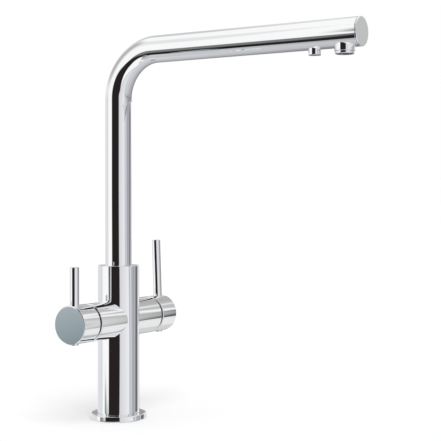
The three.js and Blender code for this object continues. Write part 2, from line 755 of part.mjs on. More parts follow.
// The three ports, as drills through a plate. The mixer's group has its Y turned round, which makes
// no difference to the two supplies.
function portDrills(z0, z1, diameter = MIXER_PORT_D) {
  const ports = [
    [SUPPLY_PORT_UP, SUPPLY_PORT_Y], [SUPPLY_PORT_UP, -SUPPLY_PORT_Y], [-MIXED_PORT_DOWN, 0],
  ];
  return ports.map(([x, y]) => bar(diameter / 2, [x, y, z0], [x, y, z1], SMALL));
}

function mixerBaseSeal() {
  const plate = ring(0, valveBoreR - 2 * CLEARANCE, SEAT + CLEARANCE, cartridgeStart - CLEARANCE);
  return cut(plate, ...portDrills(SEAT, cartridgeStart, MIXER_PORT_D + 2 * CLEARANCE));
}

// The free arc in its rim lets the turret's lug turn from hot to cold.
function mixerCartridge() {
  const boreR = CARTRIDGE_BORE_D / 2;
  const bodyR = valveBoreR - CLEARANCE;
  const flangeOuterR = nutBoreR - CLEARANCE;
  const recessFloor = collarStart - CLEARANCE;
  const base = cartridgeStart + CARTRIDGE_BASE;
  const blank = turned([
    [0, cartridgeStart], [bodyR, cartridgeStart], [bodyR, valveFlangeStart],
    [flangeOuterR, valveFlangeStart], [flangeOuterR, valveFlangeEnd],
    [collarRecessR, valveFlangeEnd], [collarRecessR, recessFloor],
    [boreR, recessFloor], [boreR, base], [0, base],
  ]);
  const halfArc = (TEMPERATURE_TURN + COLLAR_LUG_ANGLE) / 2 + CLEARANCE / collarRecessR / RAD;
  const lugRecess = sector(
    boreR, lugRecessR, 180 - halfArc, 180 + halfArc, recessFloor, valveFlangeEnd + OVERRUN,
  );
  return cut(blank, lugRecess, ...portDrills(cartridgeStart - OVERRUN, base + OVERRUN));
}

function mixerFixedDisc() {
  const end = fixedDiscStart + DISC_THICKNESS;
  const plate = ring(0, CARTRIDGE_BORE_D / 2 - CLEARANCE, fixedDiscStart, end);
  return cut(plate, ...portDrills(fixedDiscStart - OVERRUN, end + OVERRUN));
}

// The round pocket under the moving disc always reaches the mixed port, and clears both supply
// ports until the disc slides towards them.
function mixerMovingDisc() {
  const plate = ring(0, MOVING_DISC_D / 2, movingDiscStart, movingDiscStart + DISC_THICKNESS);
  const pocketR = Math.hypot(SUPPLY_PORT_UP, SUPPLY_PORT_Y) - MIXER_PORT_D / 2 - CLEARANCE;
  const pocket = bar(
    pocketR, [0, 0, movingDiscStart - OVERRUN], [0, 0, movingDiscStart + DISC_THICKNESS / 2], MEDIUM,
  );
  return cut(plate, pocket);
}

function mixerDiscCarrier() {
  const end = carrierStart + CARRIER_H;
  return ring(BALL_D / 2 + CLEARANCE, MOVING_DISC_D / 2, carrierStart, end);
}

function mixerTurret() {
  const r = CARTRIDGE_BORE_D / 2 - CLEARANCE;
  const end = collarStart + COLLAR_H;
  const blank = turned([
    [0, turretStart], [r, turretStart], [r, collarStart],
    [collarR, collarStart], [collarR, end], [0, end],
  ]);
  const lug = sector(
    r, collarR + COLLAR_LUG, 180 - COLLAR_LUG_ANGLE / 2, 180 + COLLAR_LUG_ANGLE / 2,
    collarStart, end,
  );
  const half = STEM_D / 2 + CLEARANCE;
  const slot = block(
    [-stemSweep(end - tiltPivot), -half, turretStart - OVERRUN],
    [stemSweep(tiltPivot - turretStart), half, end + OVERRUN],
  );
  const pinHole = bar(PIN_D / 2 + CLEARANCE, [0, -r - OVERRUN, tiltPivot], [0, r + OVERRUN, tiltPivot]);
  return cut(join(blank, lug), slot, pinHole);
}

function mixerStem() {
  const neckR = BALL_D / 3;
  const ball = new THREE.SphereGeometry(BALL_D / 2, SMALL, TINY).translate(0, 0, ballCentre);
  const shaftStart = turretStart + CLEARANCE;
  const shaft = turned([
    [0, ballCentre], [neckR, ballCentre], [neckR, shaftStart], [STEM_D / 2, shaftStart + STEM_D / 4],
    [STEM_D / 2, stemSquareStart + OVERRUN], [0, stemSquareStart + OVERRUN],
  ]);
  const pinHole = bar(PIN_D / 2 + CLEARANCE, [0, -STEM_D, tiltPivot], [0, STEM_D, tiltPivot]);
  return cut(join(shaft, ball, squareEnd()), pinHole);
}

const pinReach = CARTRIDGE_BORE_D / 2 - 3 * CLEARANCE;
addPiece(mixerSide, 'mixer_base_seal', mixerBaseSeal(), rubber);
addPiece(mixerSide, 'mixer_cartridge', mixerCartridge(), whitePlastic);
addPiece(mixerSide, 'mixer_fixed_disc', mixerFixedDisc(), ceramic);
addPiece(mixerTurning, 'mixer_moving_disc', mixerMovingDisc(), ceramic);
addPiece(mixerTurning, 'mixer_disc_carrier', mixerDiscCarrier(), greyPlastic);
addPiece(mixerTurning, 'mixer_turret', mixerTurret(), greyPlastic);
addPiece(
  mixerTurning, 'mixer_stem_pin',
  bar(PIN_D / 2, [0, -pinReach, tiltPivot], [0, pinReach, tiltPivot], SMALL),
  stainless,
);
addPiece(mixerTurning, 'mixer_stem', mixerStem(), brass);

// ---------------------------------------------------------------------------------------------
// Filtered water valve: a quarter turn ceramic headwork
// ---------------------------------------------------------------------------------------------

// Each disc has two openings opposite each other. At rest those of the moving disc are a quarter
// turn away from those of the fixed disc, so the valve is shut.
function filterDisc(z0, firstAngle) {
  const plate = ring(0, filterDiscR, z0, z0 + DISC_THICKNESS);
  const openings = [firstAngle, firstAngle + 180].map((middle) => sector(
    filterDiscR / 3, filterDiscR - DISC_WEB,
    middle - DISC_OPENING / 2, middle + DISC_OPENING / 2, z0 - OVERRUN, z0 + DISC_THICKNESS + OVERRUN,
  ));
  return cut(plate, ...openings);
}

// The free arc lets the spindle's lug turn a quarter turn, from up and back to up and forward.
function filterValveBody() {
  const bodyR = valveBoreR - CLEARANCE;
  const flangeOuterR = nutBoreR - CLEARANCE;
  const spindleBoreR = SPINDLE_D / 2 + CLEARANCE;
  const stepEnd = driverEnd + CLEARANCE;
  const sleeveEnd = cartridgeStart + SLEEVE_LENGTH;
  const blank = turned([
    [sleeveBoreR, cartridgeStart], [sleeveR, cartridgeStart], [sleeveR, sleeveEnd],
    [bodyR, sleeveEnd], [bodyR, valveFlangeStart],
    [flangeOuterR, valveFlangeStart], [flangeOuterR, valveFlangeEnd],
    [spindleBoreR, valveFlangeEnd], [spindleBoreR, stepEnd], [sleeveBoreR, stepEnd],
  ]);
  const halfArc = (QUARTER_TURN + LUG_ANGLE) / 2 + CLEARANCE / spindleBoreR / RAD;
  const stopWall = sector(
    spindleBoreR, stopR, halfArc, 360 - halfArc,
    valveFlangeEnd - OVERRUN, valveFlangeEnd + CLEARANCE + STOP_H,
  );
  const window = block(
    [-WINDOW_W / 2, -SLEEVE_D, driverSlotEnd - WINDOW_L], [WINDOW_W / 2, SLEEVE_D, driverSlotEnd],
  );
  return cut(join(blank, stopWall), window);
}

function filterSpindle() {
  const r = SPINDLE_D / 2;
  const grooveR = r - SMALL_RING_SECTION - CLEARANCE / 2;
  const grooveHalf = SMALL_RING_SECTION / 2 + CLEARANCE;
  const shaft = turned([
    [0, driverStart], [filterDiscR, driverStart], [filterDiscR, driverEnd], [r, driverEnd],
    [r, spindleRingAt - grooveHalf], [grooveR, spindleRingAt - grooveHalf],
    [grooveR, spindleRingAt + grooveHalf], [r, spindleRingAt + grooveHalf],
    [r, valveNutEnd], [STEM_D / 2, valveNutEnd + SPINDLE_TAPER],
    [STEM_D / 2, stemSquareStart + OVERRUN], [0, stemSquareStart + OVERRUN],
  ]);
  const lug = sector(
    r - OVERRUN, stopR, (QUARTER_TURN - LUG_ANGLE) / 2, (QUARTER_TURN + LUG_ANGLE) / 2,
    valveFlangeEnd + CLEARANCE, valveFlangeEnd + CLEARANCE + STOP_H,
  );
  const slot = block(
    [-DRIVER_SLOT / 2, -SLEEVE_D, driverStart - OVERRUN], [DRIVER_SLOT / 2, SLEEVE_D, driverSlotEnd],
  );
  return cut(join(shaft, lug, squareEnd()), slot);
}

const spindleRingR = (SPINDLE_D - SMALL_RING_SECTION) / 2;
addPiece(
  filterSide, 'filter_valve_seal',
  ring(filterDiscR - DISC_WEB + CLEARANCE, filterDiscR, SEAT + CLEARANCE, cartridgeStart),
  rubber,
);
addPiece(filterSide, 'filter_valve_body', filterValveBody(), brass);
addPiece(filterSide, 'filter_fixed_disc', filterDisc(filterFixedDiscStart, 90), ceramic);
addPiece(filterSide, 'filter_moving_disc', filterDisc(filterMovingDiscStart, 0), ceramic);
addPiece(filterSide, 'filter_spindle', filterSpindle(), brass);
addPiece(
  filterSide, 'filter_spindle_oring',
  oRing(spindleRingR, SMALL_RING_SECTION - CLEARANCE, spindleRingAt, COARSE),
  rubber,
);

// ---------------------------------------------------------------------------------------------
// Spout socket: the rings that the spout turns on and the screw that holds it in
// ---------------------------------------------------------------------------------------------

addPiece(
  tap, 'spout_thrust_washer',
  ring(
    socketR - THRUST_W, socketR - CLEARANCE,
    socketFloor + CLEARANCE, socketFloor + CLEARANCE + THRUST_H,
  ),
  whitePlastic,
);
addPiece(
  tap, 'spout_glide_ring',
  ring(tubeR + CLEARANCE, glideSeatR - CLEARANCE, COLUMN_H - GLIDE_H, COLUMN_H, FINE),
  chrome,
);

function spoutStopScrew() {
  const tipEnd = stopGrooveR + CLEARANCE;
  const threadStart = socketR + CLEARANCE;
  const headEnd = columnR - STOP_SCREW_SUNK;
  return turned([
    [0, tipEnd], [STOP_TIP_D / 2, tipEnd], [STOP_TIP_D / 2, threadStart],
    [STOP_SCREW_D / 2, threadStart], [STOP_SCREW_D / 2, headEnd], [0, headEnd],
  ], COARSE)
    .rotateX(-Math.PI / 2)
    .translate(0, 0, stopScrewZ);
}

addPiece(tap, 'spout_stop_screw', spoutStopScrew(), stainless);

// ---------------------------------------------------------------------------------------------
// Spout
// ---------------------------------------------------------------------------------------------

function spoutTube() {
  const run = spoutStations(tubeStart, armZ, armTubeEnd);
  const outletHole = (reach, diameter) => bar(
    diameter / 2 + CLEARANCE, [0, -reach, armZ], [0, -reach, armZ - TUBE_D], MEDIUM,
  );
  return cut(
    sweptRod(tubeR, run, FINE),
    sweptRod(tubeBoreR, openEnds(run), MEDIUM),
    outletHole(MAIN_OUTLET_REACH, MAIN_OUTLET_D),
    outletHole(filterOutletReach, FILTER_OUTLET_D),
  );
}

// The bush carries the O-rings, runs on the stop screw in a part round groove, and lets the mixed
// water past the inner tube through its holes.
function spoutBush() {
  const grooveR = bushR - RING_SECTION - CLEARANCE;
  const ringGroove = (z) => [
    [bushR, z - RING_SECTION / 2 - CLEARANCE], [grooveR, z - RING_SECTION / 2 - CLEARANCE],
    [grooveR, z + RING_SECTION / 2 + CLEARANCE], [bushR, z + RING_SECTION / 2 + CLEARANCE],
  ];
  const holeR = FILTER_TUBE_D / 2 + CLEARANCE;
  const spigotR = tubeBoreR - 2 * CLEARANCE;
  const top = bushEnd + BUSH_SPIGOT;
  const blank = turned([
    [holeR, bushStart], [bushR, bushStart], ...bushRingHeights.flatMap(ringGroove),
    [bushR, bushEnd], [spigotR, bushEnd], [spigotR, top], [holeR, top],
  ]);
  const tipAngle = Math.asin((STOP_TIP_D / 2 + CLEARANCE) / (stopGrooveR + CLEARANCE)) / RAD;
  const halfAngle = SWIVEL / 2 + tipAngle;
  const halfWidth = STOP_TIP_D / 2 + CLEARANCE;
  const stopGroove = sector(
    stopGrooveR, bushR + OVERRUN, 90 - halfAngle, 90 + halfAngle,
    stopScrewZ - halfWidth, stopScrewZ + halfWidth,
  );
  const waterHoles = Array.from({ length: BUSH_HOLES }, (_, i) => {
    const angle = ((i + 0.5) / BUSH_HOLES) * 2 * Math.PI;
    const x = BUSH_HOLE_R * Math.cos(angle);
    const y = BUSH_HOLE_R * Math.sin(angle);
    return bar(BUSH_HOLE_D / 2, [x, y, bushStart - OVERRUN], [x, y, top + OVERRUN], SMALL);
  });
  return cut(blank, stopGroove, ...waterHoles);
}

function spoutEndCap() {
  const spigotR = tubeBoreR - 2 * CLEARANCE;
  const face = armReach - LEVER_EDGE;
  const plate = armReach - END_PLATE;
  const inner = MAIN_OUTLET_REACH + MAIN_OUTLET_D / 2 + END_SPIGOT_GAP;
  return turned([
    [0, inner], [spigotR - SPIGOT_EDGE, inner], [spigotR, inner + SPIGOT_EDGE],
    [spigotR, plate], [tubeR, plate], [tubeR, face], [tubeR - LEVER_EDGE, armReach], [0, armReach],
  ], FINE)
    .rotateX(Math.PI / 2)
    .translate(0, 0, armZ);
}

addPiece(spout, 'spout_tube', spoutTube(), chrome);
addPiece(spout, 'spout_bush', spoutBush(), brass);
bushRingHeights.forEach((z, i) => {
  addPiece(spout, `spout_oring_${i + 1}`, oRing(bushR - RING_SECTION / 2, RING_SECTION, z), rubber);
});
addPiece(spout, 'spout_end_cap', spoutEndCap(), chrome);

// ---------------------------------------------------------------------------------------------
// Inner waterway for the filtered water
// ---------------------------------------------------------------------------------------------

function filterSpigot() {
  const r = SPIGOT_BORE_D / 2 - CLEARANCE;
  const grooveR = r - SMALL_RING_SECTION;
  const grooveHalf = SMALL_RING_SECTION / 2 + CLEARANCE;
  const holeR = BARB_BORE_D / 2;
  return turned([
    [holeR, spigotStart], [r, spigotStart],
    [r, spigotRingZ - grooveHalf], [grooveR, spigotRingZ - grooveHalf],
    [grooveR, spigotRingZ + grooveHalf], [r, spigotRingZ + grooveHalf],
    [r, spigotEnd], [barbR, spigotEnd],
    [barbR, spigotEnd + BARB_L], [holeR, spigotEnd + BARB_L],
  ], COARSE);
}

// Beside the spout's own centreline, then down to the outlet.
function filterTubeStations() {
  const dropR = FILTER_TUBE_DROP_R;
  const dropStart = filterOutletReach - dropR;
  const stations = spoutStations(filterTubeStart, filterRunZ, dropStart);
  for (let i = 1; i <= DROP_STEPS; i++) {
    const angle = (i / DROP_STEPS) * Math.PI / 2;
    stations.push({
      point: new THREE.Vector3(
        0, -dropStart - dropR * Math.sin(angle), filterRunZ - dropR * (1 - Math.cos(angle)),
      ),
      tangent: new THREE.Vector3(0, -Math.cos(angle), -Math.sin(angle)),
    });
  }
  stations.push({
    point: new THREE.Vector3(0, -filterOutletReach, filterTubeEnd),
    tangent: new THREE.Vector3(0, 0, -1),
  });
  return stations;
}

function filterTube() {
  const run = filterTubeStations();
  return cut(
    sweptRod(FILTER_TUBE_D / 2, run, SMALL),
    sweptRod(filterTubeBoreR, openEnds(run), SMALL),
  );
}

addPiece(spout, 'filter_spigot', filterSpigot(), brass);
addPiece(
  spout, 'filter_spigot_oring',
  oRing(
    SPIGOT_BORE_D / 2 - CLEARANCE - SMALL_RING_SECTION / 2, SMALL_RING_SECTION - CLEARANCE / 2,
    spigotRingZ, COARSE,
  ),
  rubber,
);
addPiece(spout, 'filter_tube', filterTube(), blueTube);

// ---------------------------------------------------------------------------------------------
// Outlets
// ---------------------------------------------------------------------------------------------

function mainOutletBoss() {
  return ring(mainBossBoreR, MAIN_OUTLET_D / 2, mainBossBottom, mainBossBottom + MAIN_BOSS_H);
}

function aeratorHousing() {
  const threadR = mainBossBoreR - CLEARANCE;
  const r = MAIN_OUTLET_D / 2 - AERATOR_SETBACK;
  const skirtTop = mainBossBottom - CLEARANCE;
  const lip = 2 * CLEARANCE; // keeps the insert from falling out
  const lipR = aeratorBoreR - lip;
  const ledge = aeratorBottom + AERATOR_RECESS - CLEARANCE;
  return turned([
    [lipR, aeratorBottom], [r - lip, aeratorBottom], [r, aeratorBottom + lip],
    [r, skirtTop], [threadR, skirtTop], [threadR, aeratorTop], [aeratorBoreR, aeratorTop],
    [aeratorBoreR, ledge], [lipR, ledge],
  ]);
}

// A disc with a middle nozzle and a ring of nozzles.
function nozzlePlate(radius, z0, z1, count) {
  const pitchR = radius * NOZZLE_PITCH;
  const holes = [[0, 0]];
  for (let i = 0; i < count; i++) {
    const angle = (i / count) * 2 * Math.PI;
    holes.push([pitchR * Math.cos(angle), pitchR * Math.sin(angle)]);
  }
  return cut(
    ring(0, radius, z0, z1),
    ...holes.map(([x, y]) => bar(NOZZLE_D / 2, [x, y, z0 - OVERRUN], [x, y, z1 + OVERRUN], TINY)),
  );
}

function aeratorInsert() {
  return nozzlePlate(
    aeratorBoreR - CLEARANCE, aeratorBottom + AERATOR_RECESS, aeratorTop - CLEARANCE,
    AERATOR_NOZZLES,
  );
}

function aeratorGasket() {
  const outerR = mainBossBoreR - CLEARANCE;
  const bottom = aeratorTop + CLEARANCE;
  return ring(outerR - AERATOR_GASKET_WIDTH, outerR, bottom, bottom + AERATOR_GASKET_H);
}

function filterOutletBoss() {
  const holeR = BARB_BORE_D / 2;
  const boreTop = filterOutletBottom + FILTER_BOSS_BORE_DEPTH;
  const r = FILTER_OUTLET_D / 2;
  const edge = LEVER_EDGE / 2;
  return turned([
    [filterBossBoreR, filterOutletBottom], [r - edge, filterOutletBottom],
    [r, filterOutletBottom + edge], [r, filterBossTop], [barbR, filterBossTop],
    [barbR, outletBarbTop], [holeR, outletBarbTop], [holeR, boreTop], [filterBossBoreR, boreTop],
  ]);
}

function filterOutletInsert() {
  const top = filterOutletBottom + FILTER_BOSS_BORE_DEPTH - CLEARANCE;
  return nozzlePlate(filterBossBoreR - CLEARANCE, top - FILTER_INSERT_H, top, FILTER_NOZZLES);
}

const mainOutlet = new THREE.Group();
mainOutlet.position.y = -MAIN_OUTLET_REACH;
const filterOutlet = new THREE.Group();
filterOutlet.position.y = -filterOutletReach;
spout.add(mainOutlet, filterOutlet);

addPiece(mainOutlet, 'main_outlet_boss', mainOutletBoss(), chrome);
addPiece(mainOutlet, 'aerator_housing', aeratorHousing(), chrome);
addPiece(mainOutlet, 'aerator_insert', aeratorInsert(), greyPlastic);
addPiece(mainOutlet, 'aerator_gasket', aeratorGasket(), rubber);
addPiece(filterOutlet, 'filter_outlet_boss', filterOutletBoss(), chrome);
addPiece(filterOutlet, 'filter_outlet_insert', filterOutletInsert(), greyPlastic);

export default tap;
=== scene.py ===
"""Looks of the three way filtered water tap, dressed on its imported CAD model.

Metres, +Z up. The origin is on the column's axis where the tap meets the worktop, the spout reaches
towards -Y, the filtered water handle is on -X and the mixer handle on +X. The sizes below repeat the
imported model's, in millimetres.
"""

import math

import bmesh
import bpy
from mathutils import Matrix, Vector
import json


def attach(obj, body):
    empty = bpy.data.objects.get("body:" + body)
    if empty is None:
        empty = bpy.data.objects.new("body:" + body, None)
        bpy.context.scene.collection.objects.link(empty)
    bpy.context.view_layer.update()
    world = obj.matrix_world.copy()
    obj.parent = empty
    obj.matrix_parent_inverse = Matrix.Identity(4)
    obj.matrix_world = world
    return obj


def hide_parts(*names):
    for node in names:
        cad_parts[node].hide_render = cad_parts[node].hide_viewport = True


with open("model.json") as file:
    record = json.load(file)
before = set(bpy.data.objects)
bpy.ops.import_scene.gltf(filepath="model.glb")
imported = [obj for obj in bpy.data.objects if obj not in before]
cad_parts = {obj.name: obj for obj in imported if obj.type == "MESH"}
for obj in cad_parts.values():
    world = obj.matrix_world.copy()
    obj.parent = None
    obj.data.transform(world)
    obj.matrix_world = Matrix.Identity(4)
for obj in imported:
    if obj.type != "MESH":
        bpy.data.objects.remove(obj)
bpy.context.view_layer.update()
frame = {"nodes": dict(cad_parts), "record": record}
nodes = frame["nodes"]
scene = bpy.context.scene

MM = 0.001
RAD = math.pi / 180

# --------------------------------------------------------------------------------------------------
# Sizes, in millimetres
# --------------------------------------------------------------------------------------------------

COLUMN_R, COLUMN_H, COLUMN_EDGE = 19.5, 144.0, 0.8
FLANGE_R, FLANGE_H, FLANGE_EDGE = 26.0, 5.3, 0.9
HANDLE_Z = 93.5
HUB_R, HUB_EDGE = 17.5, 1.0
HOUSING_END, CAP_START, CAP_END = 47.0, 49.0, 72.0
CAP_HOLLOW_R, CAP_HOLLOW_END = 15.5, 58.0
NUT_BORE_R, VALVE_BORE_R, SHOULDER, SEAT = 14.5, 13.2, 38.0, 13.0
LEVER_R, LEVER_X, LEVER_FOOT = 4.25, 65.0, 6.0
FILTER_LEVER_RISE, MIXER_LEVER_RISE, MIXER_LEAN = 51.5, 72.5, 2.0
PLUG_R, PLUG_PROUD = 3.8, 1.0
SOCKET_R, SOCKET_FLOOR = 13.3, 110.0
GLIDE_SEAT_R, GLIDE_H = 15.5, 2.7
STOP_SCREW_Z, STOP_HOLE_R = 133.0, 2.8
TUBE_R, TUBE_BORE_R, TUBE_START = 12.5, 11.0, 138.0
ARM_Z, BEND_R, ARM_TUBE_END, ARM_END, PLATE = 344.5, 44.5, 250.0, 251.5, 1.2
MAIN_REACH, MAIN_R, MAIN_BOTTOM, MAIN_TOP, MAIN_BORE_R = 235.5, 8.75, 329.0, 338.0, 7.2
AERATOR_R, AERATOR_BOTTOM, AERATOR_BORE_R = 8.2, 326.7, 6.2
FILTER_REACH, FILTER_R, FILTER_BOTTOM, FILTER_TOP = 207.5, 5.5, 327.5, 336.5
FILTER_BORE_R, FILTER_BORE_TOP = 3.2, 332.0
PORT_OFFSET, PORT_R, PORT_DEPTH, STUD_HOLE_R, STUD_HOLE_DEPTH = 8.5, 4.5, 14.0, 4.3, 15.0
GAP = 0.3

HOUSING_SINK, NUT_MOUTH, PLUG_DEPTH, TUBE_EDGE = 0.3, 1.2, 2.2, 0.2
END_PLUG_R, END_PLUG_START, AERATOR_TOP = TUBE_BORE_R - 0.6, MAIN_REACH + MAIN_R + 0.8, 334.0

# How finely round shapes are drawn: sides over a full turn, and faces over a rounded edge
SIDES, SMALL_SIDES, PLUG_SIDES, HOLE_SIDES = 128, 64, 48, 32
EDGE_STEPS = 4
TINY = 1e-6

# A mesh's materials by number: its outside, and the bores in it
OUTSIDE, BORE = 0, 1

# --------------------------------------------------------------------------------------------------
# Materials: every one is procedural and follows the surface's own place
# --------------------------------------------------------------------------------------------------

# Most of the noise lies between these two values
NOISE_LOW, NOISE_HIGH, NOISE_ROUGHNESS = 0.3, 0.7, 0.55


def node_material(name):
    """A new material with its node tree and its shader."""
    material = bpy.data.materials.new(name)
    material.use_nodes = True
    tree = material.node_tree
    shader = tree.nodes["Principled BSDF"]
    return material, tree, shader


def add_node(tree, kind, **inputs):
    """A node with the named inputs set."""
    node = tree.nodes.new(kind)
    for key, value in inputs.items():
        node.inputs[key.replace("_", " ")].default_value = value
    return node


def noise(tree, scale, detail=3.0, stretch=None):
    """Noise in the object's own coordinates. stretch scales the coordinates first."""
    place = tree.nodes.new("ShaderNodeTexCoord")
    source = place.outputs["Object"]
    if stretch:
        mapping = tree.nodes.new("ShaderNodeMapping")
        mapping.inputs["Scale"].default_value = stretch
        tree.links.new(source, mapping.inputs["Vector"])
        source = mapping.outputs["Vector"]
    texture = add_node(
        tree, "ShaderNodeTexNoise", Scale=scale, Detail=detail, Roughness=NOISE_ROUGHNESS,
    )
    tree.links.new(source, texture.inputs["Vector"])
    return texture.outputs["Fac"]


def spread(tree, source, low, high):
    """A number that follows source between two values."""
    node = tree.nodes.new("ShaderNodeMapRange")
    node.inputs["From Min"].default_value = NOISE_LOW
    node.inputs["From Max"].default_value = NOISE_HIGH
    node.inputs["To Min"].default_value = low
    node.inputs["To Max"].default_value = high
    tree.links.new(source, node.inputs["Value"])
    return node.outputs["Result"]


def two_tones(tree, source, first, second):
    """A colour that follows source from the first tone to the second."""
    ramp = tree.nodes.new("ShaderNodeValToRGB")
    ramp.color_ramp.elements[0].position = NOISE_LOW
    ramp.color_ramp.elements[1].position = NOISE_HIGH
    ramp.color_ramp.elements[0].color = (*first, 1)
    ramp.color_ramp.elements[1].color = (*second, 1)
    tree.links.new(source, ramp.inputs["Fac"])
    return ramp.outputs["Color"]


def bump(tree, shader, source, strength, distance):
    """Small relief that follows source."""
    node = tree.nodes.new("ShaderNodeBump")
    node.inputs["Strength"].default_value = strength
    node.inputs["Distance"].default_value = distance
    tree.links.new(source, node.inputs["Height"])
    tree.links.new(node.outputs["Normal"], shader.inputs["Normal"])


def surface(name, metallic, tones, roughness, scale, relief=None, stretch=None, fine_scale=None):
    """A material whose tone, roughness and relief all vary over the surface."""
    material, tree, shader = node_material(name)
    shader.inputs["Metallic"].default_value = metallic
    broad = noise(tree, scale, stretch=stretch)
    fine = noise(tree, fine_scale or scale * 6, detail=5.0, stretch=stretch)
    tree.links.new(two_tones(tree, broad, *tones), shader.inputs["Base Color"])
    tree.links.new(spread(tree, fine, *roughness), shader.inputs["Roughness"])
    if relief:
        bump(tree, shader, fine, *relief)
    return material


CHROME = surface(
    "polished_chrome", 1.0, ((0.925, 0.93, 0.94), (0.945, 0.95, 0.955)), (0.015, 0.035), 30,
    fine_scale=260,
)
BRASS = surface(
    "turned_brass", 1.0, ((0.60, 0.42, 0.17), (0.74, 0.55, 0.26)), (0.22, 0.4), 60,
    relief=(0.15, 0.0001), stretch=(1, 1, 14),
)
ZINC_STEEL = surface(
    "zinc_plated_steel", 1.0, ((0.50, 0.52, 0.54), (0.66, 0.67, 0.68)), (0.25, 0.45), 90,
    relief=(0.2, 0.0001),
)
STAINLESS = surface(
    "stainless_steel", 1.0, ((0.55, 0.56, 0.57), (0.70, 0.71, 0.72)), (0.16, 0.3), 120,
    relief=(0.12, 0.0001),
)
RUBBER = surface(
    "black_rubber", 0.0, ((0.010, 0.010, 0.011), (0.022, 0.022, 0.024)), (0.6, 0.85), 80,
    relief=(0.3, 0.0001),
)
CERAMIC = surface(
    "ground_ceramic", 0.0, ((0.76, 0.74, 0.69), (0.84, 0.82, 0.78)), (0.18, 0.32), 70,
    relief=(0.08, 0.00005),
)
WHITE_PLASTIC = surface(
    "white_acetal", 0.0, ((0.76, 0.76, 0.74), (0.83, 0.83, 0.81)), (0.38, 0.52), 60,
    relief=(0.12, 0.00008),
)
GREY_PLASTIC = surface(
    "grey_moulding", 0.0, ((0.090, 0.098, 0.105), (0.125, 0.133, 0.14)), (0.38, 0.55), 60,
    relief=(0.15, 0.00008),
)
BLUE_TUBE = surface(
    "blue_tube", 0.0, ((0.06, 0.20, 0.50), (0.10, 0.27, 0.60)), (0.3, 0.45), 40,
    relief=(0.1, 0.00008),
)
DARK_BORE = surface(
    "cast_bore", 1.0, ((0.10, 0.085, 0.06), (0.17, 0.145, 0.10)), (0.4, 0.6), 90,
    relief=(0.2, 0.0001),
)

SLOT_MATERIALS = {
    "chrome": CHROME,
    "brass": BRASS,
    "zinc_steel": ZINC_STEEL,
    "stainless": STAINLESS,
    "rubber": RUBBER,
    "ceramic": CERAMIC,
    "white_plastic": WHITE_PLASTIC,
    "grey_plastic": GREY_PLASTIC,
    "blue_tube": BLUE_TUBE,
}

# --------------------------------------------------------------------------------------------------
# Meshes: points and normals are worked out together, so that the chrome reflects without facets
# --------------------------------------------------------------------------------------------------


class Shape:
    """Points with their normals, and faces with their materials, in millimetres."""

    def __init__(self):
        self.points, self.normals, self.faces, self.finishes = [], [], [], []

    def add(self, points, normals, faces, finish=OUTSIDE):
        start = len(self.points)
        self.points += [Vector(p) for p in points]
        self.normals += [Vector(n).normalized() for n in normals]
        self.faces += [tuple(start + i for i in face) for face in faces]
        self.finishes += [finish] * len(faces)
        return self

    def moved(self, matrix):
        turn = matrix.to_3x3()
        self.points = [matrix @ p for p in self.points]
        self.normals = [(turn @ n).normalized() for n in self.normals]
        return self

    def joined(self, *others):
        for other in others:
            start = len(self.points)
            self.points += other.points
            self.normals += other.normals
            self.faces += [tuple(start + i for i in face) for face in other.faces]
            self.finishes += other.finishes
        return self


def rounded(outline):
    """Runs (point, normal) along an outline of (x, z, radius) corners. A radius of 0 keeps a sharp
    corner, which starts a new run."""
    corners = [(Vector((x, z)), r) for x, z, r in outline]
    runs, run = [], []
    for i in range(len(corners) - 1):
        here, there = corners[i][0], corners[i + 1][0]
        along = (there - here).normalized()
        normal = Vector((along.y, -along.x))
        if i == 0 or corners[i][1] == 0:
            run = [(here, normal)]
            runs.append(run)
        if i + 1 == len(corners) - 1 or corners[i + 1][1] == 0:
            run.append((there, normal))
            continue
        after = (corners[i + 2][0] - there).normalized()
        next_normal = Vector((after.y, -after.x))
        radius = corners[i + 1][1]
        turn = math.atan2(along.x * after.y - along.y * after.x, along.dot(after))
        cut = radius * math.tan(abs(turn) / 2)
        side = -1 if turn > 0 else 1
        centre = there - along * cut + normal * radius * side
        for k in range(EDGE_STEPS + 1):
            a = turn * k / EDGE_STEPS
            n = Vector((
                normal.x * math.cos(a) - normal.y * math.sin(a),
                normal.x * math.sin(a) + normal.y * math.cos(a),
            ))
            run.append((centre - n * radius * side, n))
        run[-1] = (run[-1][0], next_normal)
    return runs


def turned(outline, sides=SIDES, finish=OUTSIDE):
    """A shape turned about Z from an outline of (radius, height, rounding) corners, drawn with the
    material on its left."""
    shape = Shape()
    for run in rounded(outline):
        points, normals, faces = [], [], []
        for i in range(sides):
            a = 2 * math.pi * i / sides
            c, s = math.cos(a), math.sin(a)
            for place, normal in run:
                points.append((place.x * c, place.x * s, place.y))
                normals.append((normal.x * c, normal.x * s, normal.y))
        count = len(run)
        for i in range(sides):
            j = (i + 1) % sides
            for k in range(count - 1):
                a, b, c, d = i * count + k, j * count + k, j * count + k + 1, i * count + k + 1
                if run[k][0].x < TINY:
                    faces.append((a, c, d))
                elif run[k + 1][0].x < TINY:
                    faces.append((a, b, c))
                else:
                    faces.append((a, b, c, d))
        shape.add(points, normals, faces, finish)
    return shape


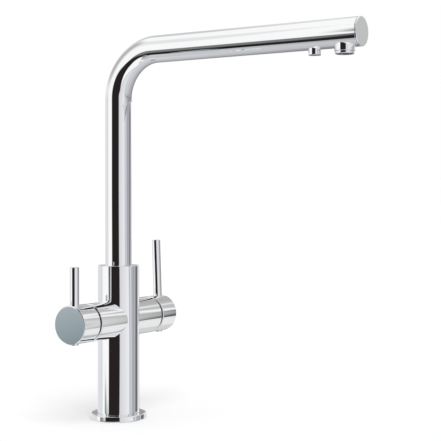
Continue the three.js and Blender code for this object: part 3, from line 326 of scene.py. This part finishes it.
def plate(z, up, outer_r, holes, finish):
    """A flat disc at height z with round holes of (x, y, radius), facing up (1) or down (-1)."""
    work = bmesh.new()
    edges = []
    for x, y, r in [(0, 0, outer_r), *holes]:
        count = SIDES if r == outer_r else HOLE_SIDES
        turns = [2 * math.pi * i / count for i in range(count)]
        ring = [work.verts.new((x + r * math.cos(a), y + r * math.sin(a), z)) for a in turns]
        edges += [work.edges.new((ring[i], ring[(i + 1) % count])) for i in range(count)]
    bmesh.ops.triangle_fill(work, use_beauty=True, use_dissolve=False, edges=edges, normal=(0, 0, 1))
    work.verts.index_update()
    points = [v.co.copy() for v in work.verts]
    faces = []
    for face in work.faces:
        face.normal_update()
        loop = [v.index for v in face.verts]
        faces.append(loop if (face.normal.z > 0) == (up > 0) else loop[::-1])
    work.free()
    return Shape().add(points, [(0, 0, up)] * len(points), faces, finish)


def blind_hole(x, y, r, depth, finish):
    """The wall and end of a round hole that goes up from height 0."""
    shape = turned([(r, 0, 0), (r, depth, 0), (0, depth, 0)], sides=HOLE_SIDES, finish=finish)
    shape.normals = [-n for n in shape.normals]
    shape.faces = [face[::-1] for face in shape.faces]
    return shape.moved(Matrix.Translation((x, y, 0)))


def make(name, shape, materials, body, replaced):
    """Makes the shape a piece of the scene, riding on a body and standing for CAD nodes."""
    mesh = bpy.data.meshes.new(name)
    mesh.from_pydata([p * MM for p in shape.points], [], shape.faces)
    for material in materials:
        mesh.materials.append(material)
    mesh.polygons.foreach_set("material_index", shape.finishes)
    mesh.polygons.foreach_set("use_smooth", [True] * len(mesh.polygons))
    mesh.normals_split_custom_set_from_vertices([tuple(n) for n in shape.normals])
    piece = bpy.data.objects.new(name, mesh)
    scene.collection.objects.link(piece)
    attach(piece, body)
    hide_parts(*replaced)


def along_x(side):
    """Turns a shape drawn about Z so that +Z points along +X or -X through the valves' height."""
    return Matrix.Translation((0, 0, HANDLE_Z)) @ Matrix.Rotation(side * math.pi / 2, 4, "Y")


def leaning():
    """The mixer's turn about its own axis at rest."""
    return (
        Matrix.Translation((0, 0, HANDLE_Z))
        @ Matrix.Rotation(-MIXER_LEAN * RAD, 4, "X")
        @ Matrix.Translation((0, 0, -HANDLE_Z))
    )


# --------------------------------------------------------------------------------------------------
# Body casting: column, two housings and their bores
# --------------------------------------------------------------------------------------------------


def on_column(angle, z):
    """A place on the column's wall and its normal."""
    out = Vector((math.cos(angle), math.sin(angle), 0))
    return out * COLUMN_R + Vector((0, 0, z)), out


def column_wall(top):
    """The column's outside, with the stop screw's hole through it at the back. A square of wall round
    the hole is drawn as rings that go from the square to the hole's edge."""
    step = 2 * math.pi / SIDES
    reach = 4
    back = math.pi / 2
    low, high = STOP_SCREW_Z - reach * step * COLUMN_R, STOP_SCREW_Z + reach * step * COLUMN_R
    wall = Shape()
    for i in range(SIDES):
        a0, a1 = back + (i - reach) * step, back + (i - reach + 1) * step
        for z0, z1 in ([(0, low), (high, top)] if i < 2 * reach else [(0, top)]):
            corners = [on_column(a, z) for a, z in ((a0, z0), (a1, z0), (a1, z1), (a0, z1))]
            wall.add([c[0] for c in corners], [c[1] for c in corners], [(0, 1, 2, 3)])
    square = [(k, -reach) for k in range(-reach, reach)] + [(reach, k) for k in range(-reach, reach)]
    square += [(-k, reach) for k in range(-reach, reach)] + [(-reach, -k) for k in range(-reach, reach)]
    points, normals, faces = [], [], []
    rings = 3
    for i, j in square:
        edge = Vector((i, j)) * step * COLUMN_R
        for k in range(rings + 1):
            flat = edge.lerp(edge.normalized() * STOP_HOLE_R, k / rings)
            place, normal = on_column(back + flat.x / COLUMN_R, STOP_SCREW_Z + flat.y)
            points.append(place)
            normals.append(normal)
    count = len(square)
    for i in range(count):
        here, there = i * (rings + 1), (i + 1) % count * (rings + 1)
        faces += [(here + k, there + k, there + k + 1, here + k + 1) for k in range(rings)]
    wall.add(points, normals, faces)
    points, normals, faces = [], [], []
    for i, (x, z) in enumerate(square):
        way = Vector((x, z)).normalized()
        turn, height = way.x * STOP_HOLE_R / COLUMN_R, STOP_SCREW_Z + way.y * STOP_HOLE_R
        rim, _ = on_column(back + turn, height)
        inward = Vector((way.x, 0, -way.y))
        points += [rim, Vector((rim.x, SOCKET_R, rim.z))]
        normals += [inward, inward]
        j = (i + 1) % count
        faces.append((2 * i, 2 * j, 2 * j + 1, 2 * i + 1))
    return wall.add(points, normals, faces, BORE)


column = column_wall(COLUMN_H - 2 * COLUMN_EDGE).joined(turned([
    (COLUMN_R, COLUMN_H - 2 * COLUMN_EDGE, 0),
    (COLUMN_R, COLUMN_H, COLUMN_EDGE),
    (GLIDE_SEAT_R + 0.25, COLUMN_H, 0.25),
    (GLIDE_SEAT_R, COLUMN_H - GLIDE_H - GAP, 0),
    (SOCKET_R, COLUMN_H - GLIDE_H - GAP, 0),
    (SOCKET_R, SOCKET_FLOOR, 0),
    (0, SOCKET_FLOOR, 0),
]))


def housing(side):
    """A side housing, from where it meets the column to its open end and down its stepped bore."""
    shell = turned([
        (HUB_R, 0, 0), (HUB_R, HOUSING_END, HUB_EDGE), (NUT_BORE_R + 0.3, HOUSING_END, 0.3),
        (NUT_BORE_R, HOUSING_END - NUT_MOUTH, 0),
    ])
    for point in shell.points:
        if point.z < TINY:
            point.z = math.sqrt(COLUMN_R ** 2 - point.y ** 2) - HOUSING_SINK
    bore = turned([
        (NUT_BORE_R, HOUSING_END - NUT_MOUTH, 0), (NUT_BORE_R, SHOULDER, 0),
        (VALVE_BORE_R, SHOULDER, 0), (VALVE_BORE_R, SEAT, 0), (0, SEAT, 0),
    ], finish=BORE)
    return shell.joined(bore).moved(along_x(side))


# Three inlet ports and the stud's hole in the column's underside
ports = [(PORT_OFFSET, PORT_OFFSET), (PORT_OFFSET, -PORT_OFFSET), (-PORT_OFFSET, -PORT_OFFSET)]
underside = plate(
    0, -1, COLUMN_R,
    [(x, y, PORT_R) for x, y in ports] + [(-PORT_OFFSET, PORT_OFFSET, STUD_HOLE_R)], finish=BORE,
)
for x, y in ports:
    underside.joined(blind_hole(x, y, PORT_R, PORT_DEPTH, finish=BORE))
underside.joined(blind_hole(-PORT_OFFSET, PORT_OFFSET, STUD_HOLE_R, STUD_HOLE_DEPTH, finish=BORE))

make(
    "cast_body", Shape().joined(column, housing(1), housing(-1), underside), [CHROME, DARK_BORE],
    "tap_body", ["body_casting"],
)

# --------------------------------------------------------------------------------------------------
# Base flange and glide ring
# --------------------------------------------------------------------------------------------------

make(
    "stepped_flange",
    turned([
        (COLUMN_R + GAP, 0, 0), (FLANGE_R, 0, FLANGE_EDGE), (FLANGE_R, FLANGE_H, FLANGE_EDGE),
        (COLUMN_R + GAP, FLANGE_H, 0.15), (COLUMN_R + GAP, 0, 0),
    ]),
    [CHROME], "tap_body", ["base_flange"],
)

make(
    "glide_ring",
    turned([
        (TUBE_R + GAP, COLUMN_H - GLIDE_H, 0), (GLIDE_SEAT_R - GAP, COLUMN_H - GLIDE_H, 0.2),
        (GLIDE_SEAT_R - GAP, COLUMN_H, 0.35), (TUBE_R + GAP, COLUMN_H, 0.25),
        (TUBE_R + GAP, COLUMN_H - GLIDE_H, 0),
    ]),
    [CHROME], "tap_body", ["spout_glide_ring"],
)

# --------------------------------------------------------------------------------------------------
# Handles: cap, lever and screw plug on each side
# --------------------------------------------------------------------------------------------------


def cap():
    """A handle's cap, hollow on the housing's side."""
    return turned([
        (0, CAP_END, 0), (HUB_R, CAP_END, HUB_EDGE), (HUB_R, CAP_START, HUB_EDGE),
        (CAP_HOLLOW_R, CAP_START, 0.3), (CAP_HOLLOW_R, CAP_HOLLOW_END, 0.5), (0, CAP_HOLLOW_END, 0),
    ][::-1])


def lever(rise):
    """A straight round lever that ends rise over the valves' axis."""
    shape = turned([
        (0, LEVER_FOOT, 0), (LEVER_R, LEVER_FOOT, 0.5), (LEVER_R, rise, 0.6), (0, rise, 0),
    ], sides=SMALL_SIDES)
    return shape.moved(Matrix.Translation((0, 0, HANDLE_Z)))


def plug():
    """The plug over a cap's grub screw, at its underside."""
    shape = turned([
        (0, HUB_R - PLUG_DEPTH, 0), (PLUG_R, HUB_R - PLUG_DEPTH, 0.2),
        (PLUG_R, HUB_R + PLUG_PROUD, 0.45), (0, HUB_R + PLUG_PROUD, 0),
    ], sides=PLUG_SIDES)
    return shape.moved(Matrix.Translation((0, 0, HANDLE_Z)) @ Matrix.Rotation(math.pi, 4, "X"))


for side, prefix, rise in ((-1, "filter", FILTER_LEVER_RISE), (1, "mixer", MIXER_LEVER_RISE)):
    lean = leaning() if prefix == "mixer" else Matrix.Identity(4)
    at_lever = lean @ Matrix.Translation((side * LEVER_X, 0, 0))
    body = f"{prefix}_handle"
    for name, shape, node in (
        ("cap", cap().moved(lean @ along_x(side)), "cap"),
        ("lever", lever(rise).moved(at_lever), "lever"),
        ("plug", plug().moved(at_lever), "screw_plug"),
    ):
        make(f"{prefix}_handle_{name}", shape, [CHROME], body, [f"{prefix}_{node}"])

# --------------------------------------------------------------------------------------------------
# Spout: swept tube, end cap and two outlets
# --------------------------------------------------------------------------------------------------

BEND_CENTRE_Z = ARM_Z - BEND_R


def spout_path(start_z, end_reach, bend_steps=40, straight_steps=10):
    """Places along the tube's centreline, each with the direction of travel."""
    stations = []
    for i in range(straight_steps):
        height = start_z + (BEND_CENTRE_Z - start_z) * i / straight_steps
        stations.append((Vector((0, 0, height)), Vector((0, 0, 1))))
    for i in range(bend_steps + 1):
        a = math.pi / 2 * i / bend_steps
        stations.append((
            Vector((0, -BEND_R * (1 - math.cos(a)), BEND_CENTRE_Z + BEND_R * math.sin(a))),
            Vector((0, -math.sin(a), math.cos(a))),
        ))
    for i in range(1, straight_steps + 1):
        y = -BEND_R - (end_reach - BEND_R) * i / straight_steps
        stations.append((Vector((0, y, ARM_Z)), Vector((0, -1, 0))))
    return stations


def swept(radius, stations, inward=False, sides=SIDES):
    """A round tube's wall along the stations, facing outward or inward."""
    points, normals, faces = [], [], []
    across = Vector((1, 0, 0))
    for centre, travel in stations:
        up = travel.cross(across)
        for i in range(sides):
            a = 2 * math.pi * i / sides
            out = across * math.cos(a) + up * math.sin(a)
            points.append(centre + out * radius)
            normals.append(-out if inward else out)
    for k in range(len(stations) - 1):
        for i in range(sides):
            j = (i + 1) % sides
            quad = (k * sides + i, (k + 1) * sides + i, (k + 1) * sides + j, k * sides + j)
            faces.append(quad if inward else quad[::-1])
    return Shape().add(points, normals, faces)


def tube_end(centre, travel):
    """The rounded rim that closes the tube's wall between its bore and its outside."""
    rim = turned([
        (TUBE_R, -TUBE_EDGE, 0), (TUBE_R, 0, TUBE_EDGE), (TUBE_BORE_R, 0, 0.1),
        (TUBE_BORE_R, -TUBE_EDGE, 0),
    ])
    turn = Vector((0, 0, 1)).rotation_difference(travel).to_matrix().to_4x4()
    return rim.moved(Matrix.Translation(centre) @ turn)


wall_path = spout_path(TUBE_START, ARM_TUBE_END - TUBE_EDGE)
bore_path = spout_path(TUBE_START, ARM_TUBE_END - TUBE_EDGE, bend_steps=20, straight_steps=4)
make(
    "bent_tube",
    swept(TUBE_R, wall_path)
    .joined(
        swept(TUBE_BORE_R, bore_path, inward=True, sides=48),
        tube_end(Vector((0, -ARM_TUBE_END, ARM_Z)), Vector((0, -1, 0))),
        tube_end(Vector((0, 0, TUBE_START)), Vector((0, 0, -1))),
    ),
    [CHROME], "spout", ["spout_tube"],
)


def along_arm():
    """Turns a shape drawn about Z so that +Z points along the arm, from the column's axis."""
    return Matrix.Translation((0, 0, ARM_Z)) @ Matrix.Rotation(math.pi / 2, 4, "X")


make(
    "end_disc",
    turned([
        (0, END_PLUG_START, 0), (END_PLUG_R, END_PLUG_START, 0.8), (END_PLUG_R, ARM_END - PLATE, 0),
        (TUBE_R, ARM_END - PLATE, 0.12), (TUBE_R, ARM_END, 0.6), (0, ARM_END, 0),
    ]).moved(along_arm()),
    [CHROME], "spout", ["spout_end_cap"],
)


def hang(shape, reach):
    """Moves a shape that is drawn about Z out along the arm."""
    return shape.moved(Matrix.Translation((0, -reach, 0)))


make(
    "main_outlet",
    hang(turned([
        (MAIN_BORE_R, MAIN_BOTTOM, 0), (MAIN_R, MAIN_BOTTOM, 0.35), (MAIN_R, MAIN_TOP, 0.3),
        (MAIN_BORE_R, MAIN_TOP, 0), (MAIN_BORE_R, MAIN_BOTTOM, 0),
    ], sides=SMALL_SIDES), MAIN_REACH),
    [CHROME], "spout", ["main_outlet_boss"],
)

make(
    "aerator_shell",
    hang(turned([
        (AERATOR_BORE_R, AERATOR_BOTTOM, 0.15), (AERATOR_R, AERATOR_BOTTOM, 0.6),
        (AERATOR_R, MAIN_BOTTOM - GAP, 0.1), (MAIN_BORE_R - GAP, MAIN_BOTTOM - GAP, 0),
        (MAIN_BORE_R - GAP, AERATOR_TOP, 0), (AERATOR_BORE_R, AERATOR_TOP, 0),
        (AERATOR_BORE_R, AERATOR_BOTTOM, 0),
    ], sides=SMALL_SIDES), MAIN_REACH),
    [CHROME], "spout", ["aerator_housing"],
)

make(
    "filter_outlet",
    hang(turned([
        (0, FILTER_BORE_TOP, 0), (FILTER_BORE_R, FILTER_BORE_TOP, 0),
        (FILTER_BORE_R, FILTER_BOTTOM, 0.25), (FILTER_R, FILTER_BOTTOM, 0.4), (FILTER_R, FILTER_TOP, 0),
        (0, FILTER_TOP, 0),
    ], sides=SMALL_SIDES), FILTER_REACH),
    [CHROME], "spout", ["filter_outlet_boss"],
)

# --------------------------------------------------------------------------------------------------
# CAD pieces that stay as they are get their finish
# --------------------------------------------------------------------------------------------------

for part in frame["record"]["subparts"]:
    mesh = nodes[part["node"]].data
    mesh.materials.clear()
    mesh.materials.append(SLOT_MATERIALS[part["material_slot"]])

# --------------------------------------------------------------------------------------------------
# Floor, studio tent, light and camera, in metres
# --------------------------------------------------------------------------------------------------

WORLD_LIGHT, FLOOR_LIFT, FLOOR_HALF = 0.74, 0.1, 8
KEY_LIGHT, KEY_ANGLE, KEY_WAY = 1.0, 40, (0.45, 0.5, -1.0)
TENT_R, TENT_CENTRE_Z, TENT_STEP = 4.0, 0.18, 1.5
WHITE = (1, 1, 1, 1)


def light_path(tree):
    """1 where a camera, mirror or glass ray looks, and 0 for the rays that light the object."""
    path = tree.nodes.new("ShaderNodeLightPath")
    either = tree.nodes.new("ShaderNodeMath")
    either.operation = "MAXIMUM"
    tree.links.new(path.outputs["Is Glossy Ray"], either.inputs[0])
    tree.links.new(path.outputs["Is Transmission Ray"], either.inputs[1])
    any_of = tree.nodes.new("ShaderNodeMath")
    any_of.operation = "MAXIMUM"
    tree.links.new(path.outputs["Is Camera Ray"], any_of.inputs[0])
    tree.links.new(either.outputs[0], any_of.inputs[1])
    return any_of.outputs[0]


def staged(name, points, faces):
    """A mesh that belongs to the studio and not to the tap."""
    mesh = bpy.data.meshes.new(name)
    mesh.from_pydata(points, [], faces)
    holder = bpy.data.objects.new(name, mesh)
    scene.collection.objects.link(holder)
    return holder


def quad(name, corners):
    """A studio object of one four-sided face."""
    return staged(name, corners, [(0, 1, 2, 3)])


def grid_faces(rows, columns, closed=False):
    """The faces between rows of points. A closed grid joins each row's end to its start."""
    return [
        (
            k * columns + i, k * columns + (i + 1) % columns,
            (k + 1) * columns + (i + 1) % columns, (k + 1) * columns + i,
        )
        for k in range(rows - 1) for i in range(columns if closed else columns - 1)
    ]


floor = quad("floor", [
    (-FLOOR_HALF, -FLOOR_HALF, 0), (FLOOR_HALF, -FLOOR_HALF, 0),
    (FLOOR_HALF, FLOOR_HALF, 0), (-FLOOR_HALF, FLOOR_HALF, 0),
])
floor_material, tree, shader = node_material("pale_floor")
shader.inputs["Roughness"].default_value = 0.9
shader.inputs["Specular IOR Level"].default_value = 0.0
tone = two_tones(tree, noise(tree, 3), (0.93, 0.93, 0.93), (0.94, 0.94, 0.94))
tree.links.new(tone, shader.inputs["Base Color"])
shader.inputs["Emission Color"].default_value = WHITE
lift = tree.nodes.new("ShaderNodeMath")
lift.operation = "MULTIPLY"
tree.links.new(light_path(tree), lift.inputs[0])
lift.inputs[1].default_value = FLOOR_LIFT
tree.links.new(lift.outputs[0], shader.inputs["Emission Strength"])
floor.data.materials.append(floor_material)
floor.visible_glossy = False

# What the chrome mirrors: a white tent with grey and black panels in it, as a studio sets them up
# round polished metal. Only reflections see it. Angles are in degrees: azimuth from +X towards +Y,
# and height over the horizon, or for a rolled panel the angle round the arm's axis, under the
# horizontal on the -X side. soft is how wide a panel's edges fade. tone goes from its first side to
# its second. lean moves its two sides with the square of the depth under the horizon, and shift moves
# its lower part sideways, where the column mirrors it, over the heights in SHIFT_HEIGHTS. A later
# panel covers an earlier one.
SHIFT_HEIGHTS = (-10, 2)
PLAIN = (1.0, 1.0, 1.0)
COOL = (0.985, 0.99, 1.02)
BLUISH = (0.965, 0.995, 1.08)
WARM = (1.15, 0.88, 0.92)
PANELS = [
    # Beside the tap on the far left, and over it
    dict(az=(48, 119), h=(-28, 10), soft=(12, 8), tone=(0.82, 0.75), tint=COOL),
    dict(az=(70, 123), h=(14, 47), soft=(22, 12), tone=(0.50, 0.50)),
    dict(az=(37, 66), h=(31, 56), soft=(12, 8), tone=(0.60, 0.64)),
    dict(az=(122, 146), h=(29, 50), soft=(8, 6), tone=(0.83, 0.83)),
    # Over the handles and behind them
    dict(az=(338, 389), h=(29, 46), soft=(14, 8), tone=(0.50, 0.42)),
    dict(az=(14, 36), h=(21, 33), soft=(8, 6), tone=(0.46, 0.46)),
    dict(az=(32, 46), h=(15, 33), soft=(5, 6), tone=(0.58, 0.62)),
    dict(az=(30, 42), h=(2, 15), soft=(5, 5), tone=(0.28, 0.40)),
    # Under the arm
    dict(az=(24, 120), h=(-75, -38), soft=(16, 12), tone=(0.30, 0.62), tint=COOL),
    dict(az=(112, 148), h=(-66, -43), soft=(16, 6), tone=(0.66, 0.40), tint=COOL),
    dict(az=(21, 40), h=(-44, -15), soft=(6, 8), tone=(0.14, 0.24), tint=COOL),
    dict(az=(15, 38), h=(-17, 3), soft=(5, 5), tone=(0.06, 0.44), tint=COOL),
    # High over the camera, and behind it
    dict(az=(215, 325), h=(66, 84), soft=(20, 8), tone=(0.45, 0.45)),
    dict(az=(222, 280), h=(-75, 60), soft=(2, 12), tone=(0.70, 0.91), tint=COOL),
    dict(az=(272, 281), h=(-75, 40), soft=(2.5, 12), tone=(0.56, 0.48), tint=BLUISH, shift=8),
    dict(az=(281, 288.5), h=(-75, 40), soft=(2.5, 12), tone=(0.74, 0.74), tint=BLUISH, shift=8),
    dict(az=(288, 320), h=(-75, 24), soft=(3, 12), tone=(0.52, 0.30), tint=BLUISH, shift=6),
    # On the right: low ones, a bright strip for the caps, and a dark one with its bright neighbour
    dict(az=(318, 390), h=(-75, -18.5), soft=(6, 5), tone=(0.42, 0.50), tint=COOL),
    dict(az=(356, 394), h=(-42, -24), soft=(8, 6), tone=(0.68, 0.64)),
    dict(az=(321, 356), h=(-38, -18.5), soft=(6, 5), tone=(0.86, 0.84)),
    dict(az=(319.5, 325.5), h=(-19, 30), soft=(1.5, 6), tone=(0.80, 0.40)),
    dict(az=(325.5, 349), h=(-16, 7.5), soft=(1.5, 2), tone=(0.10, 0.22), tint=BLUISH),
    dict(az=(349, 362), h=(-18, 7.5), soft=(4, 2), tone=(0.50, 0.84), tint=COOL),
    # What the end disc and the mixer cap mirror
    dict(az=(329, 350), h=(8, 27), soft=(3, 2), tone=(0.55, 0.52)),
    # The dark line along the arm, in three steps
    dict(
        az=(138, 164), h=(-38, -14.5), soft=(3, 4), lean=(0.012, 0.012), tone=(0.20, 0.20),
        rolled=True,
    ),
    dict(
        az=(138, 164), h=(-46, -33), soft=(3, 6), lean=(0.012, 0.012), tone=(0.10, 0.10),
        rolled=True,
    ),
    dict(
        az=(136, 166), h=(-54.5, -36), soft=(4, 3), lean=(0.008, 0.008), tone=(0.01, 0.01),
        rolled=True,
    ),
    # The black band down the spout and the column
    dict(
        az=(158, 221), h=(-43, 78), soft=(4, 4), lean=(0.014, 0.024), tone=(0.018, 0.018), tint=WARM,
        shift=6,
    ),
]


def smooth(low, high, x):
    """0 under low and 1 over high, with a soft step between them."""
    t = min(1, max(0, (x - low) / (high - low)))
    return t * t * (3 - 2 * t)


def tent_tone(azimuth, height):
    """The tent's colour in one direction."""
    depth = min(0, height)
    a, h = azimuth * RAD, height * RAD
    roll = math.atan2(math.sin(h), -math.cos(h) * math.cos(a)) / RAD
    tone = Vector(PLAIN)
    for panel in PANELS:
        (a0, a1), (h0, h1), (soft_a, soft_h) = panel["az"], panel["h"], panel["soft"]
        place = roll if panel.get("rolled") else height
        inside_h = smooth(h0 - soft_h / 2, h0 + soft_h / 2, place)
        inside_h *= 1 - smooth(h1 - soft_h / 2, h1 + soft_h / 2, place)
        lean0, lean1 = panel.get("lean", (0, 0))
        shift = panel.get("shift", 0) * (1 - smooth(*SHIFT_HEIGHTS, height))
        a0, a1 = a0 + shift - lean0 * depth ** 2, a1 + shift - lean1 * depth ** 2
        middle, half = (a0 + a1) / 2, max(1, (a1 - a0) / 2)
        away = (azimuth - middle + 180) % 360 - 180
        inside = inside_h * (1 - smooth(half - soft_a / 2, half + soft_a / 2, abs(away)))
        if inside <= 0:
            continue
        share = min(1, max(0, 0.5 + away / (2 * half)))
        level = panel["tone"][0] + (panel["tone"][1] - panel["tone"][0]) * share
        tone = tone.lerp(Vector(panel.get("tint", PLAIN)) * level, inside)
    return tone


def glowing(name):
    """A material that shows the colours painted on its mesh, and lights nothing."""
    material = bpy.data.materials.new(name)
    material.use_nodes = True
    tree = material.node_tree
    tree.nodes.clear()
    paint = tree.nodes.new("ShaderNodeVertexColor")
    paint.layer_name = "panel_tone"
    glow = tree.nodes.new("ShaderNodeEmission")
    end = tree.nodes.new("ShaderNodeOutputMaterial")
    tree.links.new(paint.outputs["Color"], glow.inputs["Color"])
    tree.links.new(glow.outputs["Emission"], end.inputs["Surface"])
    material.cycles.emission_sampling = "NONE"
    return material


def mirrored_only(holder, tones):
    """Paints a stage object and shows it to reflections alone."""
    layer = holder.data.color_attributes.new("panel_tone", "FLOAT_COLOR", "POINT")
    layer.data.foreach_set("color", [x for tone in tones for x in (*tone, 1)])
    holder.data.materials.append(TENT_CLOTH)
    holder.visible_camera = False
    holder.visible_diffuse = False
    holder.visible_transmission = False
    holder.visible_shadow = False
    holder.visible_volume_scatter = False


TENT_CLOTH = glowing("tent_cloth")
across, up = round(360 / TENT_STEP), round(180 / TENT_STEP) + 1
points, tones = [], []
for k in range(up):
    height = -90 + k * TENT_STEP
    for i in range(across):
        azimuth = i * TENT_STEP
        points.append((
            TENT_R * math.cos(height * RAD) * math.cos(azimuth * RAD),
            TENT_R * math.cos(height * RAD) * math.sin(azimuth * RAD),
            TENT_R * math.sin(height * RAD) + TENT_CENTRE_Z,
        ))
        tones.append(tent_tone(azimuth, height))
mirrored_only(staged("studio_tent", points, grid_faces(up, across, closed=True)), tones)

# Small cards close to the tap, again seen by reflections alone. The grey one stands in front of the
# filter cap's flat face, the next two calm the bend's inner side and the arm's underside from below,
# and the black one gives the mixer lever the same dark line as the rest.
cap_face = Vector((-CAP_END, 0, HANDLE_Z)) * MM
card_way = Vector((-0.7672, 0.6325, -0.1063))
card_away, card_half, card_low, card_high = 0.2, 0.026, 0.024, 0.025
card_side = Vector((0.6361, 0.7716, 0)) * card_half
card_up = Vector((0, 0, 1))
card_at = cap_face + card_way * card_away
grey_card = quad("grey_card", [
    card_at - card_side - card_up * card_low, card_at + card_side - card_up * card_low,
    card_at + card_side + card_up * card_high, card_at - card_side + card_up * card_high,
])
mirrored_only(grey_card, [
    (0.215, 0.275, 0.295), (0.27, 0.33, 0.35), (0.44, 0.50, 0.53), (0.38, 0.44, 0.475),
])

# The bend's card slopes up towards +X, and gets darker towards +X and towards the outlets
BEND_CARD_Z, BEND_CARD_SLOPE, BEND_CARD_TINT = 0.296, 0.145, (0.98, 1.0, 1.05)
bend_rows = ((0.04, 1.0), (-0.06, 0.96), (-0.13, 0.84), (-0.245, 0.5))
bend_columns = ((0.013, 0.61), (0.026, 0.50), (0.045, 0.37), (0.11, 0.22))
bend_card = staged(
    "bend_card",
    [(x, y, BEND_CARD_Z + BEND_CARD_SLOPE * x) for y, _ in bend_rows for x, _ in bend_columns],
    grid_faces(len(bend_rows), len(bend_columns)),
)
mirrored_only(bend_card, [
    [tint * fade * tone for tint in BEND_CARD_TINT] for _, fade in bend_rows for _, tone in bend_columns
])

arm_card = quad("arm_card", [
    (-0.012, -0.245, 0.2943), (0.013, -0.245, 0.2979),
    (0.013, -0.02, 0.2979), (-0.012, -0.02, 0.2943),
])
mirrored_only(arm_card, [
    (0.55, 0.56, 0.58), (0.49, 0.50, 0.525), (0.60, 0.61, 0.63), (0.70, 0.71, 0.73),
])

LEVER_CARD_X, LEVER_CARD_LOW, LEVER_CARD_HIGH = 0.0592, 0.1125, 0.1668
lever_card = quad("lever_card", [
    (LEVER_CARD_X, -0.0036, LEVER_CARD_LOW), (LEVER_CARD_X, 0.0004, LEVER_CARD_LOW),
    (LEVER_CARD_X, 0.0023, LEVER_CARD_HIGH), (LEVER_CARD_X, -0.0017, LEVER_CARD_HIGH),
])
mirrored_only(lever_card, [(0.02, 0.017, 0.018)] * 4)

world = bpy.data.worlds.new("studio")
scene.world = world
world.use_nodes = True
tree = world.node_tree
tree.nodes.clear()
light = tree.nodes.new("ShaderNodeBackground")
light.inputs["Color"].default_value = WHITE
light.inputs["Strength"].default_value = WORLD_LIGHT
backdrop = tree.nodes.new("ShaderNodeBackground")
backdrop.inputs["Color"].default_value = WHITE
backdrop.inputs["Strength"].default_value = 1.0
mix = tree.nodes.new("ShaderNodeMixShader")
end = tree.nodes.new("ShaderNodeOutputWorld")
tree.links.new(light_path(tree), mix.inputs["Fac"])
tree.links.new(light.outputs[0], mix.inputs[1])
tree.links.new(backdrop.outputs[0], mix.inputs[2])
tree.links.new(mix.outputs[0], end.inputs["Surface"])

key = bpy.data.lights.new("soft_key", "SUN")
key.energy = KEY_LIGHT
key.angle = KEY_ANGLE * RAD
key_holder = bpy.data.objects.new("soft_key", key)
scene.collection.objects.link(key_holder)
key_holder.rotation_euler = Vector(KEY_WAY).to_track_quat("-Z", "Y").to_euler()
key_holder.visible_glossy = False

# The camera that was fitted to the photo. It looks level, with its picture shifted
PHOTO_SIZE, FOCAL_LENGTH, HORIZON_ROW = 441, 1130.95, 202.72
SENSOR = 36
CAMERA_PLACE, CAMERA_WAY = (-0.8548, -0.6462, 0.2027), (0.8487, 0.5289, 0)
camera_data = bpy.data.cameras.new("camera")
camera = bpy.data.objects.new("camera", camera_data)
scene.collection.objects.link(camera)
camera_data.sensor_width = SENSOR
camera_data.sensor_fit = "HORIZONTAL"
camera_data.lens = FOCAL_LENGTH / PHOTO_SIZE * SENSOR
camera_data.shift_y = -(PHOTO_SIZE / 2 - HORIZON_ROW) / PHOTO_SIZE
camera_data.clip_start = 0.05
camera_data.clip_end = 50
camera.location = CAMERA_PLACE
forward = Vector(CAMERA_WAY).normalized()
camera.rotation_euler = forward.to_track_quat("-Z", "Y").to_euler()
scene.camera = camera
scene.view_settings.view_transform = "Standard"
